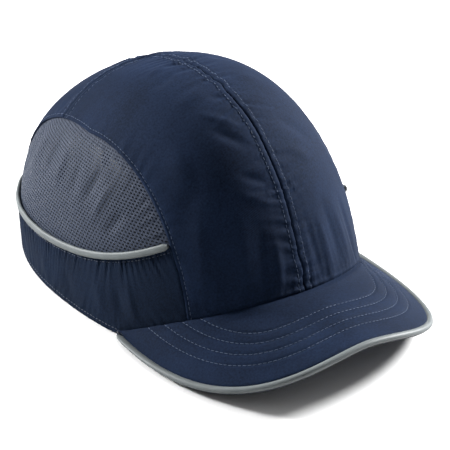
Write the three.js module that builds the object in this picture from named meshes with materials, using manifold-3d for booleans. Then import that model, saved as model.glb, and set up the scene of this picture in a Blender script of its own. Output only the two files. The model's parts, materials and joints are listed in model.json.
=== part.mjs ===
import * as THREE from "three";
import Module from "manifold-3d";

// Bump cap: a fabric cap over a vented plastic shell with foam pads, and a hook-and-loop strap at the back.
// Lengths are millimetres and angles are degrees. Z is up, the visor points to -y and left is +x.
// A place on the crown is (azimuth, rise). Azimuth is 0 at the visor, 90 at the wearer's left and 180
// at the back. Rise is 0 at the level of the rim and 90 on top, where the four seams meet.

// Crown form. The plan is a superellipse, and the seam junction lies behind and a little below the crest.
const HALF_WIDTH = 87;
const FRONT_REACH = 124;
const REAR_REACH = 110;
const JUNCTION_HEIGHT = 119;
const JUNCTION_BACK = 38;
const CREST_SLOPE = 0.4;
const SHIFT_POWER = 1.2;
const PLAN_POWER = 2.25;
const FRONT_POWER = 2.1;
const SIDE_POWER = 2.2;
const REAR_POWER = 2.0;

// Rim: flat at the sides and back, and arched over the forehead between the visor's corners.
const RIM_FRONT_HEIGHT = 35;
const VISOR_CORNER_AZIMUTH = 70.6;
const RIM_ARCH_POWER = 2.1;
const HEM_BEHIND_VISOR = 4;

// Seam lines of the panels.
const SIDE_SEAM_X = 61.5;
const SIDE_SEAM_TAPER = 0.12;
const SIDE_SEAM_TAPER_FROM_Y = 10;
const REAR_SEAM_AZIMUTH = 100;
const SEAM_TOP_RISE = 89.5;
const PIPING_REAR_HEIGHT = 27;
const PIPING_FRONT_LIFT = 34.5;
const PIPING_FRONT_Y = -72;
const PIPING_FADE = 50;
const MESH_TRIM_SHARE = 0.012;

// Arched opening at the back.
const OPENING_HALF_WIDTH = 34;
const OPENING_HEIGHT = 58;
const OPENING_POWER = 2.4;

// Fabric layers.
const FABRIC = 1.2;
const LAYER_GAP = 0.6;
const SEAM_GAP = 0.5;
const TAPE = 0.6;
const TAPE_HALF_WIDTH = 5;
const TAPE_START_ABOVE_RIM = 31;
const TAPE_TOP_RISE = 82;
const REAR_TAPE_START = 3;
const REAR_TAPE_TOP_RISE = 76;
const SIDE_TAPE_START = 9;
const SIDE_TAPE_TOP_RISE = 78;
const ARCH_TAPE_START = 0.4;

// Sweatband and its label.
const SWEATBAND = 1.6;
const SWEATBAND_HEIGHT = 28;
const SWEATBAND_END_AZIMUTH = 156;
const LABEL_THICKNESS = 0.5;
const LABEL_GAP = 0.9;
const LABEL_HALF_SPAN = 8;
const LABEL_AZIMUTH = 128;
const LABEL_BOTTOM = 6;
const LABEL_TOP = 24;

// Reflective piping.
const PIPING_HALF_WIDTH = 2.1;
const PIPING_HALF_THICKNESS = 1.2;
const PIPING_END_TRIM = 0.6;
const VISOR_PIPING_RADIUS = 2.2;
const BEAD_SIDES = 6;

// Visor.
const VISOR_LENGTH = 56.5;
const VISOR_HALF_WIDTH = 93.4;
const VISOR_DROOP = 11.6;
const VISOR_BASE_LIFT = 4.4;
const VISOR_CORNER_GAP = 4.4;
const VISOR_CORNER_DROP = 4;
const VISOR_END = 0.975;
const VISOR_THIN_FROM = 0.7;
const VISOR_END_THINNING = 0.5;
const VISOR_SIDE_POWER = 2.9;
const VISOR_FRONT_POWER = 2.45;
const VISOR_BEND_POWER = 1.7;
const VISOR_BOARD = 2;
const VISOR_COVER = 1;
const VISOR_LAYER_GAP = 0.3;
const VISOR_ROOT_GAP = 0.5;
const VISOR_ROOT_LOWEST_TOP = 2.9;
const VISOR_COLUMNS = 37;
const VISOR_EDGE_SPACING = 1.15;

// Closure strap at the back.
const STRAP = 1.4;
const STRAP_BOTTOM = 4;
const STRAP_TOP = 27;
const STRAP_GAP = 0.8;
const PAD = 1;
const PAD_GAP = 0.4;
const PAD_MARGIN = 2.5;
const BINDING_RADIUS = 1.7;
const BINDING_INSET = 2.1;
const BINDING_CLEARANCE = 0.5;
const BINDING_START_TURN = 3;
const HOOK_STRAP_REACH = 22;
const LOOP_STRAP_REACH = 25;
const LOOP_STRAP_TAIL = 42;
const HOOK_PAD_FROM = -8;
const LOOP_PAD_FROM = 14;

// Removable insert: a vented shell with foam pads, held up by a hook-and-loop patch.
const SHELL = 2;
const SHELL_SIDE_CLEARANCE = 3.6;
const SHELL_FRONT_CLEARANCE = 3.6;
const SHELL_REAR_CLEARANCE = 9;
const SHELL_TOP_CLEARANCE = 5.4;
const SHELL_EDGE_ABOVE_RIM = 32;
const SHELL_REAR_EDGE_LIFT = 32;
const SHELL_REAR_EDGE_FROM = 125;
const SHELL_REAR_EDGE_TO = 160;
const SHELL_TOP_RISE = 86;
const VENT_WIDTH = 7;
const VENT_LENGTH = 24;
const VENT_PLACES = [
  [14, 55],
  [44, 58],
  [72, 44],
  [92, 34],
  [112, 34],
  [150, 58],
];
const FOAM = 4.5;
const FOAM_GAP = 0.9;
const FOAM_PADS = [
  { name: "front", azimuths: [-30, 30], rises: [36, 50], columns: 12, rows: 4 },
  { name: "crown", azimuths: [-48, 48], rises: [64, 80], columns: 12, rows: 5 },
  { name: "left", azimuths: [62, 120], rises: [44, 56], columns: 12, rows: 4 },
  { name: "right", azimuths: [-62, -120], rises: [44, 56], columns: 12, rows: 4 },
  { name: "rear", azimuths: [164, 196], rises: [50, 68], columns: 8, rows: 5 },
];
const PATCH_THICKNESS = 0.6;
const PATCH_HALF_SPAN = 26;
const PATCH_FROM_RISE = 64;
const PATCH_TO_RISE = 78;

const COLOUR = {
  navy: "#27304a",
  mesh: "#5c6480",
  piping: "#a9adab",
  board: "#2b2c30",
  sweat: "#1c1f29",
  tape: "#20263a",
  shell: "#23252a",
  foam: "#2f3136",
  hook: "#191b22",
  label: "#d8d8d4",
};

const rad = THREE.MathUtils.degToRad;
const lerp = THREE.MathUtils.lerp;
const clamp = THREE.MathUtils.clamp;

const wasm = await Module();
wasm.setup();

// A crown form: the cap itself, or the smaller shell that sits inside it.
const CAP_FORM = {
  halfWidth: HALF_WIDTH,
  front: FRONT_REACH,
  rear: REAR_REACH,
  height: JUNCTION_HEIGHT,
};

const SHELL_FORM = {
  halfWidth: HALF_WIDTH - SHELL_SIDE_CLEARANCE,
  front: FRONT_REACH - SHELL_FRONT_CLEARANCE,
  rear: REAR_REACH - SHELL_REAR_CLEARANCE,
  height: JUNCTION_HEIGHT - SHELL_TOP_CLEARANCE,
};

function signedPower(value, power) {
  return Math.sign(value) * Math.abs(value) ** power;
}

// The point of a crown form at an azimuth and rise.
function crownPoint(form, azimuth, rise) {
  const toSide = Math.sin(rad(azimuth));
  const toFront = Math.cos(rad(azimuth));
  const endPower = toFront > 0 ? FRONT_POWER : REAR_POWER;
  const power = lerp(SIDE_POWER, endPower, toFront * toFront);
  const reach = toFront > 0 ? form.front : form.rear;
  const out = Math.abs(Math.cos(rad(rise))) ** (2 / power);
  const up = Math.abs(Math.sin(rad(rise))) ** (2 / power);
  const x = form.halfWidth * signedPower(toSide, 2 / PLAN_POWER) * out;
  const plan = -reach * signedPower(toFront, 2 / PLAN_POWER) * out;
  const y = JUNCTION_BACK * up ** SHIFT_POWER + plan;
  const z = up * (form.height + CREST_SLOPE * (JUNCTION_BACK - y));
  return new THREE.Vector3(x, y, z);
}

// The two directions along the crown, per degree of azimuth and of rise, and the outward normal.
function crownAxes(form, azimuth, rise) {
  const step = 0.4;
  const low = Math.max(rise - step, 0.01);
  const high = Math.min(rise + step, 89.9);
  const around = crownPoint(form, azimuth + step, rise);
  around.sub(crownPoint(form, azimuth - step, rise)).divideScalar(2 * step);
  const upward = crownPoint(form, azimuth, high);
  upward.sub(crownPoint(form, azimuth, low)).divideScalar(high - low);
  const normal = new THREE.Vector3().crossVectors(around, upward).normalize();
  return { around, upward, normal };
}

// The point a given distance outside the crown, with a negative distance for inside.
function lifted(form, azimuth, rise, lift) {
  const { normal } = crownAxes(form, azimuth, rise);
  return crownPoint(form, azimuth, rise).addScaledVector(normal, lift);
}

// The value between low and high at which the test stops being true.
function findChange(low, high, isBefore) {
  let a = low;
  let b = high;
  for (let i = 0; i < 36; i += 1) {
    const middle = (a + b) / 2;
    if (isBefore(middle)) a = middle;
    else b = middle;
  }
  return (a + b) / 2;
}

function rimHeight(azimuth) {
  const along = Math.min(Math.abs(azimuth) / VISOR_CORNER_AZIMUTH, 1);
  return RIM_FRONT_HEIGHT * (1 - along ** RIM_ARCH_POWER);
}

// The height of the crown's own bottom edge, which is hidden behind the visor's root at the front.
function hemHeight(azimuth) {
  return Math.max(0, rimHeight(azimuth) - HEM_BEHIND_VISOR);
}

function riseOfHeight(form, azimuth, height) {
  if (height <= 0) return 0;
  return findChange(0, 80, (rise) => crownPoint(form, azimuth, rise).z < height);
}

function hemRise(azimuth) {
  return riseOfHeight(CAP_FORM, azimuth, hemHeight(azimuth));
}

// The side seam lies where the crown meets a nearly flat upright surface, which leans in towards the back.
function sideSeamX(y) {
  return SIDE_SEAM_X - SIDE_SEAM_TAPER * Math.max(0, y - SIDE_SEAM_TAPER_FROM_Y);
}

function archRise(azimuth) {
  return findChange(0, 80, (rise) => {
    const p = crownPoint(CAP_FORM, azimuth, rise);
    return Math.abs(p.x) > sideSeamX(p.y);
  });
}

function pipingHeight(y) {
  return PIPING_REAR_HEIGHT + PIPING_FRONT_LIFT * Math.exp((PIPING_FRONT_Y - y) / PIPING_FADE);
}

function pipingRise(azimuth) {
  return findChange(0, 80, (rise) => {
    const p = crownPoint(CAP_FORM, azimuth, rise);
    return p.z < pipingHeight(p.y);
  });
}

// The place on the back of the crown with a given distance from the middle and height.
function rearPlace(x, height) {
  const azimuth = findChange(90, 180, (a) => {
    const rise = riseOfHeight(CAP_FORM, a, height);
    return crownPoint(CAP_FORM, a, rise).x > x;
  });
  return [azimuth, riseOfHeight(CAP_FORM, azimuth, height)];
}

// The place on the front of the side seam at a given height.
function frontSeamPlace(height) {
  const azimuth = findChange(0, 90, (a) => {
    const rise = riseOfHeight(CAP_FORM, a, height);
    return crownPoint(CAP_FORM, a, rise).x < SIDE_SEAM_X;
  });
  return [azimuth, riseOfHeight(CAP_FORM, azimuth, height)];
}

// Places along the edge of the back opening, from the rim at turn 0 to the top at turn 90.
function openingPlace(turn, inset) {
  const across = Math.cos(rad(turn)) ** (2 / OPENING_POWER) * (OPENING_HALF_WIDTH - inset);
  const up = Math.sin(rad(turn)) ** (2 / OPENING_POWER) * (OPENING_HEIGHT - inset);
  return rearPlace(across, up);
}

// Corners of the panel pattern on the wearer's left.
const SEAM_FOOT_AZIMUTH = findChange(0, 90, (a) => crownPoint(CAP_FORM, a, hemRise(a)).x < SIDE_SEAM_X);
const MESH_FRONT_AZIMUTH = findChange(SEAM_FOOT_AZIMUTH, 65, (a) => archRise(a) < pipingRise(a));
const MESH_REAR_AZIMUTH = findChange(125, 158, (a) => archRise(a) > pipingRise(a));
const OPENING_AT_PIPING = findChange(0, 89, (turn) => {
  const [azimuth, rise] = openingPlace(turn, 0);
  return rise < pipingRise(azimuth);
});

// A list of places along a curve given as a function of 0 to 1.
function trace(curve, count) {
  return Array.from({ length: count }, (_, i) => curve(i / (count - 1)));
}

// The same curve, with its places spread evenly by distance on the crown.
function spread(places, count) {
  const points = places.map(([azimuth, rise]) => crownPoint(CAP_FORM, azimuth, rise));
  const travelled = [0];
  for (let i = 1; i < points.length; i += 1) {
    travelled.push(travelled[i - 1] + points[i].distanceTo(points[i - 1]));
  }
  const total = travelled[travelled.length - 1];
  return trace((t) => {
    const goal = t * total;
    let i = 1;
    while (i < travelled.length - 1 && travelled[i] < goal) i += 1;
    const part = (goal - travelled[i - 1]) / Math.max(travelled[i] - travelled[i - 1], 1e-9);
    const a = places[i - 1];
    const b = places[i];
    return [lerp(a[0], b[0], clamp(part, 0, 1)), lerp(a[1], b[1], clamp(part, 0, 1))];
  }, count);
}

function placeAt(places, t) {
  const along = t * (places.length - 1);
  const i = Math.min(Math.floor(along), places.length - 2);
  const a = places[i];
  const b = places[i + 1];
  return [lerp(a[0], b[0], along - i), lerp(a[1], b[1], along - i)];
}

// The place inside a four-sided patch of the crown, blended from its four edges.
function patchPlace({ bottom, top, start, end }, u, w) {
  const b = placeAt(bottom, u);
  const t = placeAt(top, u);
  const s = placeAt(start, w);
  const e = placeAt(end, w);
  const b0 = bottom[0];
  const b1 = bottom[bottom.length - 1];
  const t0 = top[0];
  const t1 = top[top.length - 1];
  return [0, 1].map((k) => {
    const edges = (1 - w) * b[k] + w * t[k] + (1 - u) * s[k] + u * e[k];
    const corners = (1 - w) * ((1 - u) * b0[k] + u * b1[k]) + w * ((1 - u) * t0[k] + u * t1[k]);
    return edges - corners;
  });
}

function distanceBetween(a, b) {
  return crownPoint(CAP_FORM, a[0], a[1]).distanceTo(crownPoint(CAP_FORM, b[0], b[1]));
}

// A patch as a grid of places, drawn in by half a seam gap on each edge that has a neighbour.
function patchGrid(patch, columns, rows) {
  const inset = SEAM_GAP / 2;
  const grid = [];
  for (let j = 0; j < rows; j += 1) {
    const w = j / (rows - 1);
    const line = [];
    for (let i = 0; i < columns; i += 1) {
      const u = i / (columns - 1);
      const wide = distanceBetween(patchPlace(patch, 0, w), patchPlace(patch, 1, w));
      const tall = distanceBetween(patchPlace(patch, u, 0), patchPlace(patch, u, 1));
      const du = Math.min(inset / wide, 0.3);
      const dw = Math.min(inset / tall, 0.3);
      const bottomInset = patch.freeBottom ? 0 : dw;
      line.push(patchPlace(patch, lerp(du, 1 - du, u), lerp(bottomInset, 1 - dw, w)));
    }
    grid.push(line);
  }
  return grid;
}

// Flips a closed body's faces if they point inwards.
function facingOut(positions, triangles) {
  let volume = 0;
  for (let i = 0; i < triangles.length; i += 3) {
    const [a, b, c] = [positions[triangles[i]], positions[triangles[i + 1]], positions[triangles[i + 2]]];
    volume += a.dot(new THREE.Vector3().crossVectors(b, c));
  }
  if (volume < 0) triangles.reverse();
  const geometry = new THREE.BufferGeometry().setFromPoints(positions);
  geometry.setIndex(triangles);
  geometry.computeVertexNormals();
  return geometry;
}

// A closed sheet between two grids of points. With closed set, the last column joins the first.
function sheet(outer, inner, closed = false) {
  const rows = outer.length;
  const columns = outer[0].length;
  const positions = [...outer.flat(), ...inner.flat()];
  const half = rows * columns;
  const triangles = [];
  const quad = (a, b, c, d) => triangles.push(a, b, c, a, c, d);
  const spans = closed ? columns : columns - 1;
  const at = (j, i) => j * columns + (i % columns);
  for (let j = 0; j < rows - 1; j += 1) {
    for (let i = 0; i < spans; i += 1) {
      quad(at(j, i), at(j, i + 1), at(j + 1, i + 1), at(j + 1, i));
      quad(half + at(j, i), half + at(j + 1, i), half + at(j + 1, i + 1), half + at(j, i + 1));
    }
  }
  for (let i = 0; i < spans; i += 1) {
    quad(at(0, i), half + at(0, i), half + at(0, i + 1), at(0, i + 1));
    quad(at(rows - 1, i), at(rows - 1, i + 1), half + at(rows - 1, i + 1), half + at(rows - 1, i));
  }
  for (let j = 0; j < rows - 1 && !closed; j += 1) {
    quad(at(j, 0), at(j + 1, 0), half + at(j + 1, 0), half + at(j, 0));
    const last = columns - 1;
    quad(at(j, last), half + at(j, last), half + at(j + 1, last), at(j + 1, last));
  }
  return facingOut(positions, triangles);
}

// A closed tube through a list of rings of points.
function tube(rings) {
  const sides = rings[0].length;
  const positions = rings.flat();
  const triangles = [];
  for (let j = 0; j < rings.length - 1; j += 1) {
    for (let i = 0; i < sides; i += 1) {
      const next = (i + 1) % sides;
      const [a, b] = [j * sides + i, j * sides + next];
      triangles.push(a, b, b + sides, a, b + sides, a + sides);
    }
  }
  const last = (rings.length - 1) * sides;
  for (let i = 1; i < sides - 1; i += 1) {
    triangles.push(0, i + 1, i, last, last + i, last + i + 1);
  }
  return facingOut(positions, triangles);
}

// The two faces of a sheet on a crown form, as grids of points.
function facePoints(form, grid, outerLift, innerLift) {
  const face = (lift) => grid.map((line) => line.map(([a, r]) => lifted(form, a, r, lift)));
  return [face(outerLift), face(innerLift)];
}

// A sheet on the crown whose bottom edge is level, at the height its outer face has there.
function hemSheet(form, grid, outerLift, innerLift) {
  const [outer, inner] = facePoints(form, grid, outerLift, innerLift);
  grid[0].forEach(([azimuth, rise], i) => {
    const level = crownPoint(form, azimuth, rise).z;
    outer[0][i].z = level;
    inner[0][i].z = level;
  });
  return sheet(outer, inner);
}

function mirrored(grid) {
  return grid.map((line) => line.map(([azimuth, rise]) => [-azimuth, rise]));
}

// Places beside a curve on the crown, at a signed distance measured along the surface.
function beside(form, places, distance) {
  return places.map(([azimuth, rise], i) => {
    const before = places[Math.max(i - 1, 0)];
    const after = places[Math.min(i + 1, places.length - 1)];
    const tangent = crownPoint(form, ...after).sub(crownPoint(form, ...before));
    const { around, upward, normal } = crownAxes(form, azimuth, rise);
    const across = new THREE.Vector3().crossVectors(normal, tangent).normalize().multiplyScalar(distance);
    const aa = around.dot(around);
    const au = around.dot(upward);
    const uu = upward.dot(upward);
    const ca = across.dot(around);
    const cu = across.dot(upward);
    const scale = aa * uu - au * au;
    return [azimuth + (ca * uu - cu * au) / scale, rise + (cu * aa - ca * au) / scale];
  });
}

// A narrow strip along a curve on the inside of the crown.
function stripGrid(form, places, halfWidth) {
  return [-1, 1].map((side) => beside(form, places, side * halfWidth));
}

// Rings of an oval bead along a curve on the outside of the crown.
function beadRings(places, halfWidth, halfThickness, lift) {
  return places.map(([azimuth, rise], i) => {
    const before = places[Math.max(i - 1, 0)];
    const after = places[Math.min(i + 1, places.length - 1)];
    const tangent = crownPoint(CAP_FORM, ...after).sub(crownPoint(CAP_FORM, ...before));
    const { normal } = crownAxes(CAP_FORM, azimuth, rise);
    const across = new THREE.Vector3().crossVectors(normal, tangent).normalize();
    const centre = crownPoint(CAP_FORM, azimuth, rise).addScaledVector(normal, lift);
    return trace((t) => {
      const turn = rad(360 * t);
      const p = centre.clone().addScaledVector(across, halfWidth * Math.cos(turn));
      return p.addScaledVector(normal, halfThickness * Math.sin(turn));
    }, BEAD_SIDES + 1).slice(0, BEAD_SIDES);
  });
}

// Edge curves of the panel pattern.
const hemEdge = spread(trace((t) => {
  const azimuth = t * SEAM_FOOT_AZIMUTH;
  return [azimuth, hemRise(azimuth)];
}, 30), 30);

const seamBelowMesh = trace((t) => {
  const foot = hemHeight(SEAM_FOOT_AZIMUTH);
  const head = pipingHeight(crownPoint(CAP_FORM, MESH_FRONT_AZIMUTH, pipingRise(MESH_FRONT_AZIMUTH)).y);
  return frontSeamPlace(lerp(foot, head, t));
}, 14);

function archBetween(from, to, count) {
  return trace((t) => {
    const azimuth = lerp(from, to, t);
    return [azimuth, archRise(azimuth)];
  }, count);
}

function pipingBetween(from, to, count) {
  return trace((t) => {
    const azimuth = lerp(from, to, t);
    return [azimuth, pipingRise(azimuth)];
  }, count);
}

const rearSeamFoot = archRise(REAR_SEAM_AZIMUTH);
const rearSeam = trace((t) => [REAR_SEAM_AZIMUTH, lerp(rearSeamFoot, SEAM_TOP_RISE, t)], 12);
const openingPiping = openingPlace(OPENING_AT_PIPING, 0);
const openingUpper = trace((t) => openingPlace(lerp(OPENING_AT_PIPING, 90, t), 0), 20);
const openingLower = trace((t) => openingPlace(lerp(0, OPENING_AT_PIPING, t), 0), 8);
const backSeamFoot = riseOfHeight(CAP_FORM, 180, OPENING_HEIGHT);
const backSeam = trace((t) => [180, lerp(backSeamFoot, SEAM_TOP_RISE, t)], 12);

function frontPanelGrid() {
  const end = [...seamBelowMesh, ...archBetween(MESH_FRONT_AZIMUTH, REAR_SEAM_AZIMUTH, 60), ...rearSeam];
  return patchGrid({
    bottom: hemEdge,
    top: trace((t) => [t * REAR_SEAM_AZIMUTH, SEAM_TOP_RISE], 12),
    start: spread(trace((t) => [0, lerp(hemRise(0), SEAM_TOP_RISE, t)], 40), 40),
    end: spread(end, 60),
  }, 9, 22);
}

function rearPanelGrid() {
  const bottom = [
    ...archBetween(REAR_SEAM_AZIMUTH, MESH_REAR_AZIMUTH, 50),
    ...pipingBetween(MESH_REAR_AZIMUTH, openingPiping[0], 6),
  ];
  return patchGrid({
    bottom: spread(bottom, 50),
    top: trace((t) => [lerp(REAR_SEAM_AZIMUTH, 180, t), SEAM_TOP_RISE], 12),
    start: spread(rearSeam, 20),
    end: spread([...openingUpper, ...backSeam], 40),
  }, 10, 13);
}

function meshPanelGrid() {
  const low = spread(pipingBetween(MESH_FRONT_AZIMUTH, MESH_REAR_AZIMUTH, 60), 60);
  const high = spread(archBetween(MESH_FRONT_AZIMUTH, MESH_REAR_AZIMUTH, 160), 60);
  const clip = (places) => trace((t) => {
    return placeAt(places, lerp(MESH_TRIM_SHARE, 1 - MESH_TRIM_SHARE, t));
  }, 80);
  const bottom = clip(low);
  const top = clip(high);
  const start = [bottom[0], top[0]];
  const end = [bottom.at(-1), top.at(-1)];
  return patchGrid({ bottom, top, start, end }, 24, 5);
}

function bandGrid() {
  const bottom = trace((t) => {
    const azimuth = lerp(SEAM_FOOT_AZIMUTH, openingLower[0][0], t);
    return [azimuth, hemRise(azimuth)];
  }, 90);
  return patchGrid({
    bottom: spread(bottom, 60),
    top: spread(pipingBetween(MESH_FRONT_AZIMUTH, openingPiping[0], 70), 60),
    start: seamBelowMesh,
    end: openingLower,
    freeBottom: true,
  }, 24, 3);
}

const group = new THREE.Group();
group.name = "bump_cap";

function add(name, geometry, colour, roughness = 0.85, metalness = 0) {
  const material = new THREE.MeshStandardMaterial({ color: colour, roughness, metalness });
  const mesh = new THREE.Mesh(geometry, material);
  mesh.name = name;
  group.add(mesh);
  return mesh;
}

// The same grid made as a piece for each side of the wearer.
function addPair(name, grid, build, colour, roughness) {
  add(name + "_left", build(grid), colour, roughness);
  add(name + "_right", build(mirrored(grid)), colour, roughness);
}

function fabricSheet(grid) {
  return hemSheet(CAP_FORM, grid, 0, -FABRIC);
}

function addPanels() {
  const panel = (grid) => sheet(...facePoints(CAP_FORM, grid, 0, -FABRIC));
  addPair("front_panel", frontPanelGrid(), fabricSheet, COLOUR.navy);
  addPair("rear_panel", rearPanelGrid(), panel, COLOUR.navy);
  addPair("mesh_panel", meshPanelGrid(), panel, COLOUR.mesh);
  addPair("side_band", bandGrid(), fabricSheet, COLOUR.navy);
}

function addSidePiping() {
  const start = MESH_FRONT_AZIMUTH + PIPING_END_TRIM;
  const end = openingPiping[0] - PIPING_END_TRIM;
  const line = spread(pipingBetween(start, end, 70), 24);
  const lift = PIPING_HALF_THICKNESS + LAYER_GAP;
  const bead = (places) => tube(beadRings(places, PIPING_HALF_WIDTH, PIPING_HALF_THICKNESS, lift));
  add("side_piping_left", bead(line), COLOUR.piping, 0.45);
  add("side_piping_right", bead(line.map(([a, r]) => [-a, r])), COLOUR.piping, 0.45);
}

function addTapes() {
  const outer = -FABRIC - LAYER_GAP;
  const tape = (grid) => sheet(...facePoints(CAP_FORM, grid, outer, outer - TAPE));
  const strip = (places) => stripGrid(CAP_FORM, places, TAPE_HALF_WIDTH);
  const frontFoot = riseOfHeight(CAP_FORM, 0, RIM_FRONT_HEIGHT + TAPE_START_ABOVE_RIM);
  const front = trace((t) => [0, lerp(frontFoot, TAPE_TOP_RISE, t)], 20);
  add("front_seam_tape", tape(strip(front)), COLOUR.tape);
  const backFoot = backSeamFoot + REAR_TAPE_START;
  const back = trace((t) => [180, lerp(backFoot, REAR_TAPE_TOP_RISE, t)], 10);
  add("rear_seam_tape", tape(strip(back)), COLOUR.tape);
  const sideFoot = rearSeamFoot + SIDE_TAPE_START;
  const side = trace((t) => [REAR_SEAM_AZIMUTH, lerp(sideFoot, SIDE_TAPE_TOP_RISE, t)], 10);
  addPair("side_seam_tape", strip(side), tape, COLOUR.tape);
  const clearOfBand = findChange(REAR_SEAM_AZIMUTH, MESH_REAR_AZIMUTH, (a) => {
    return crownPoint(CAP_FORM, a, archRise(a)).z > TAPE_START_ABOVE_RIM + TAPE_HALF_WIDTH;
  });
  const arch = spread(archBetween(MESH_FRONT_AZIMUTH + ARCH_TAPE_START, clearOfBand, 120), 26);
  addPair("arch_tape", strip(arch), tape, COLOUR.tape);
}

function addSweatband() {
  const outer = -FABRIC - LAYER_GAP;
  const grid = [0, 0.5, 1].map((w) => trace((t) => {
    const azimuth = lerp(-SWEATBAND_END_AZIMUTH, SWEATBAND_END_AZIMUTH, t);
    const height = lerp(hemHeight(azimuth), rimHeight(azimuth) + SWEATBAND_HEIGHT, w);
    return [azimuth, riseOfHeight(CAP_FORM, azimuth, height)];
  }, 70));
  add("sweatband", hemSheet(CAP_FORM, grid, outer, outer - SWEATBAND), COLOUR.sweat, 0.95);
  const labelOuter = outer - SWEATBAND - LABEL_GAP;
  const label = [0, 0.5, 1].map((w) => trace((t) => {
    const azimuth = LABEL_AZIMUTH + lerp(-LABEL_HALF_SPAN, LABEL_HALF_SPAN, t);
    return [azimuth, riseOfHeight(CAP_FORM, azimuth, lerp(LABEL_BOTTOM, LABEL_TOP, w))];
  }, 5));
  const faces = facePoints(CAP_FORM, label, labelOuter, labelOuter - LABEL_THICKNESS);
  add("size_label", sheet(...faces), COLOUR.label, 0.8);
}

// The visor's outer edge, with along running from -1 at the wearer's right corner to 1 at the left.
function visorEdge(along) {
  const corner = crownPoint(CAP_FORM, VISOR_CORNER_AZIMUTH, 0);
  const middle = crownPoint(CAP_FORM, 0, riseOfHeight(CAP_FORM, 0, RIM_FRONT_HEIGHT));
  const turn = rad(90 * Math.abs(along));
  const forward = Math.cos(turn) ** (2 / VISOR_FRONT_POWER);
  const sweep = VISOR_HALF_WIDTH * Math.sin(turn) ** (2 / VISOR_SIDE_POWER);
  const tuck = (VISOR_HALF_WIDTH - corner.x - VISOR_CORNER_GAP) * (1 - forward) ** 2 * Math.sin(turn);
  const x = sweep - tuck;
  const y = corner.y + (middle.y - VISOR_LENGTH - corner.y) * forward;
  const bend = RIM_FRONT_HEIGHT * (1 - (x / VISOR_HALF_WIDTH) ** VISOR_BEND_POWER);
  const z = VISOR_BASE_LIFT + bend - VISOR_DROOP * forward - VISOR_CORNER_DROP * (1 - forward) ** 4;
  return new THREE.Vector3(Math.sign(along) * x, y, z);
}

// The outer edge drawn inwards, level, by a distance.
function visorEdgeInset(along, distance) {
  const step = 0.002;
  const tangent = visorEdge(along + step).sub(visorEdge(along - step));
  const inward = new THREE.Vector3(-tangent.y, tangent.x, 0).normalize();
  const point = visorEdge(along).addScaledVector(inward, distance);
  return { point, inward, tangent: tangent.normalize() };
}

// How thick the visor is near its corners, as a share of its thickness in the middle.
function visorShare(along) {
  const t = clamp((Math.abs(along) - VISOR_THIN_FROM) / (1 - VISOR_THIN_FROM), 0, 1);
  return 1 - VISOR_END_THINNING * t * t * (3 - 2 * t);
}

// A point of the visor from its root (out 0) to its edge (out 1), lifted from the middle of the board.
function visorPoint(along, out, lift) {
  const share = visorShare(along);
  const azimuth = along * VISOR_CORNER_AZIMUTH;
  const topLift = VISOR_BOARD / 2 + VISOR_LAYER_GAP + VISOR_COVER;
  const top = Math.max(rimHeight(azimuth), VISOR_ROOT_LOWEST_TOP);
  const height = top + (lift - topLift) * share;
  const root = lifted(CAP_FORM, azimuth, riseOfHeight(CAP_FORM, azimuth, height), VISOR_ROOT_GAP);
  root.z = height;
  const { point } = visorEdgeInset(along, 2 * VISOR_PIPING_RADIUS + VISOR_LAYER_GAP);
  point.z += lift * share;
  return root.lerp(point, out);
}

// Even steps from one visor corner to the other, closer together where the edge turns.
function visorSteps() {
  return trace((t) => signedPower(lerp(-VISOR_END, VISOR_END, t), VISOR_EDGE_SPACING), VISOR_COLUMNS);
}

function addVisor() {
  const steps = visorSteps();
  const face = (lift) => trace((out) => steps.map((along) => visorPoint(along, out, lift)), 3);
  const layer = (low, high) => sheet(face(high), face(low));
  const board = VISOR_BOARD / 2;
  const cover = board + VISOR_LAYER_GAP;
  add("visor_board", layer(-board, board), COLOUR.board, 0.7);
  add("visor_top_cover", layer(cover, cover + VISOR_COVER), COLOUR.navy);
  add("visor_under_cover", layer(-cover - VISOR_COVER, -cover), COLOUR.navy);
  const rings = steps.map((along) => {
    const { point, inward, tangent } = visorEdgeInset(along, VISOR_PIPING_RADIUS);
    const upward = new THREE.Vector3().crossVectors(inward, tangent).normalize();
    const radius = VISOR_PIPING_RADIUS * visorShare(along);
    return trace((t) => {
      const turn = rad(360 * t);
      const p = point.clone().addScaledVector(inward, VISOR_PIPING_RADIUS * Math.cos(turn));
      return p.addScaledVector(upward, radius * Math.sin(turn));
    }, BEAD_SIDES + 1).slice(0, BEAD_SIDES);
  });
  add("visor_piping", tube(rings), COLOUR.piping, 0.45);
}

// A level strip across the back, between two distances from the middle, with positive to the left.
function rearStrip(fromX, toX, bottom, top, outerLift, thickness, count) {
  const grid = [bottom, (bottom + top) / 2, top].map((height) => trace((t) => {
    const x = lerp(fromX, toX, t);
    const [azimuth, rise] = rearPlace(Math.abs(x), height);
    return [x < 0 ? 360 - azimuth : azimuth, rise];
  }, count));
  return sheet(...facePoints(CAP_FORM, grid, outerLift, outerLift - thickness));
}

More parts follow.
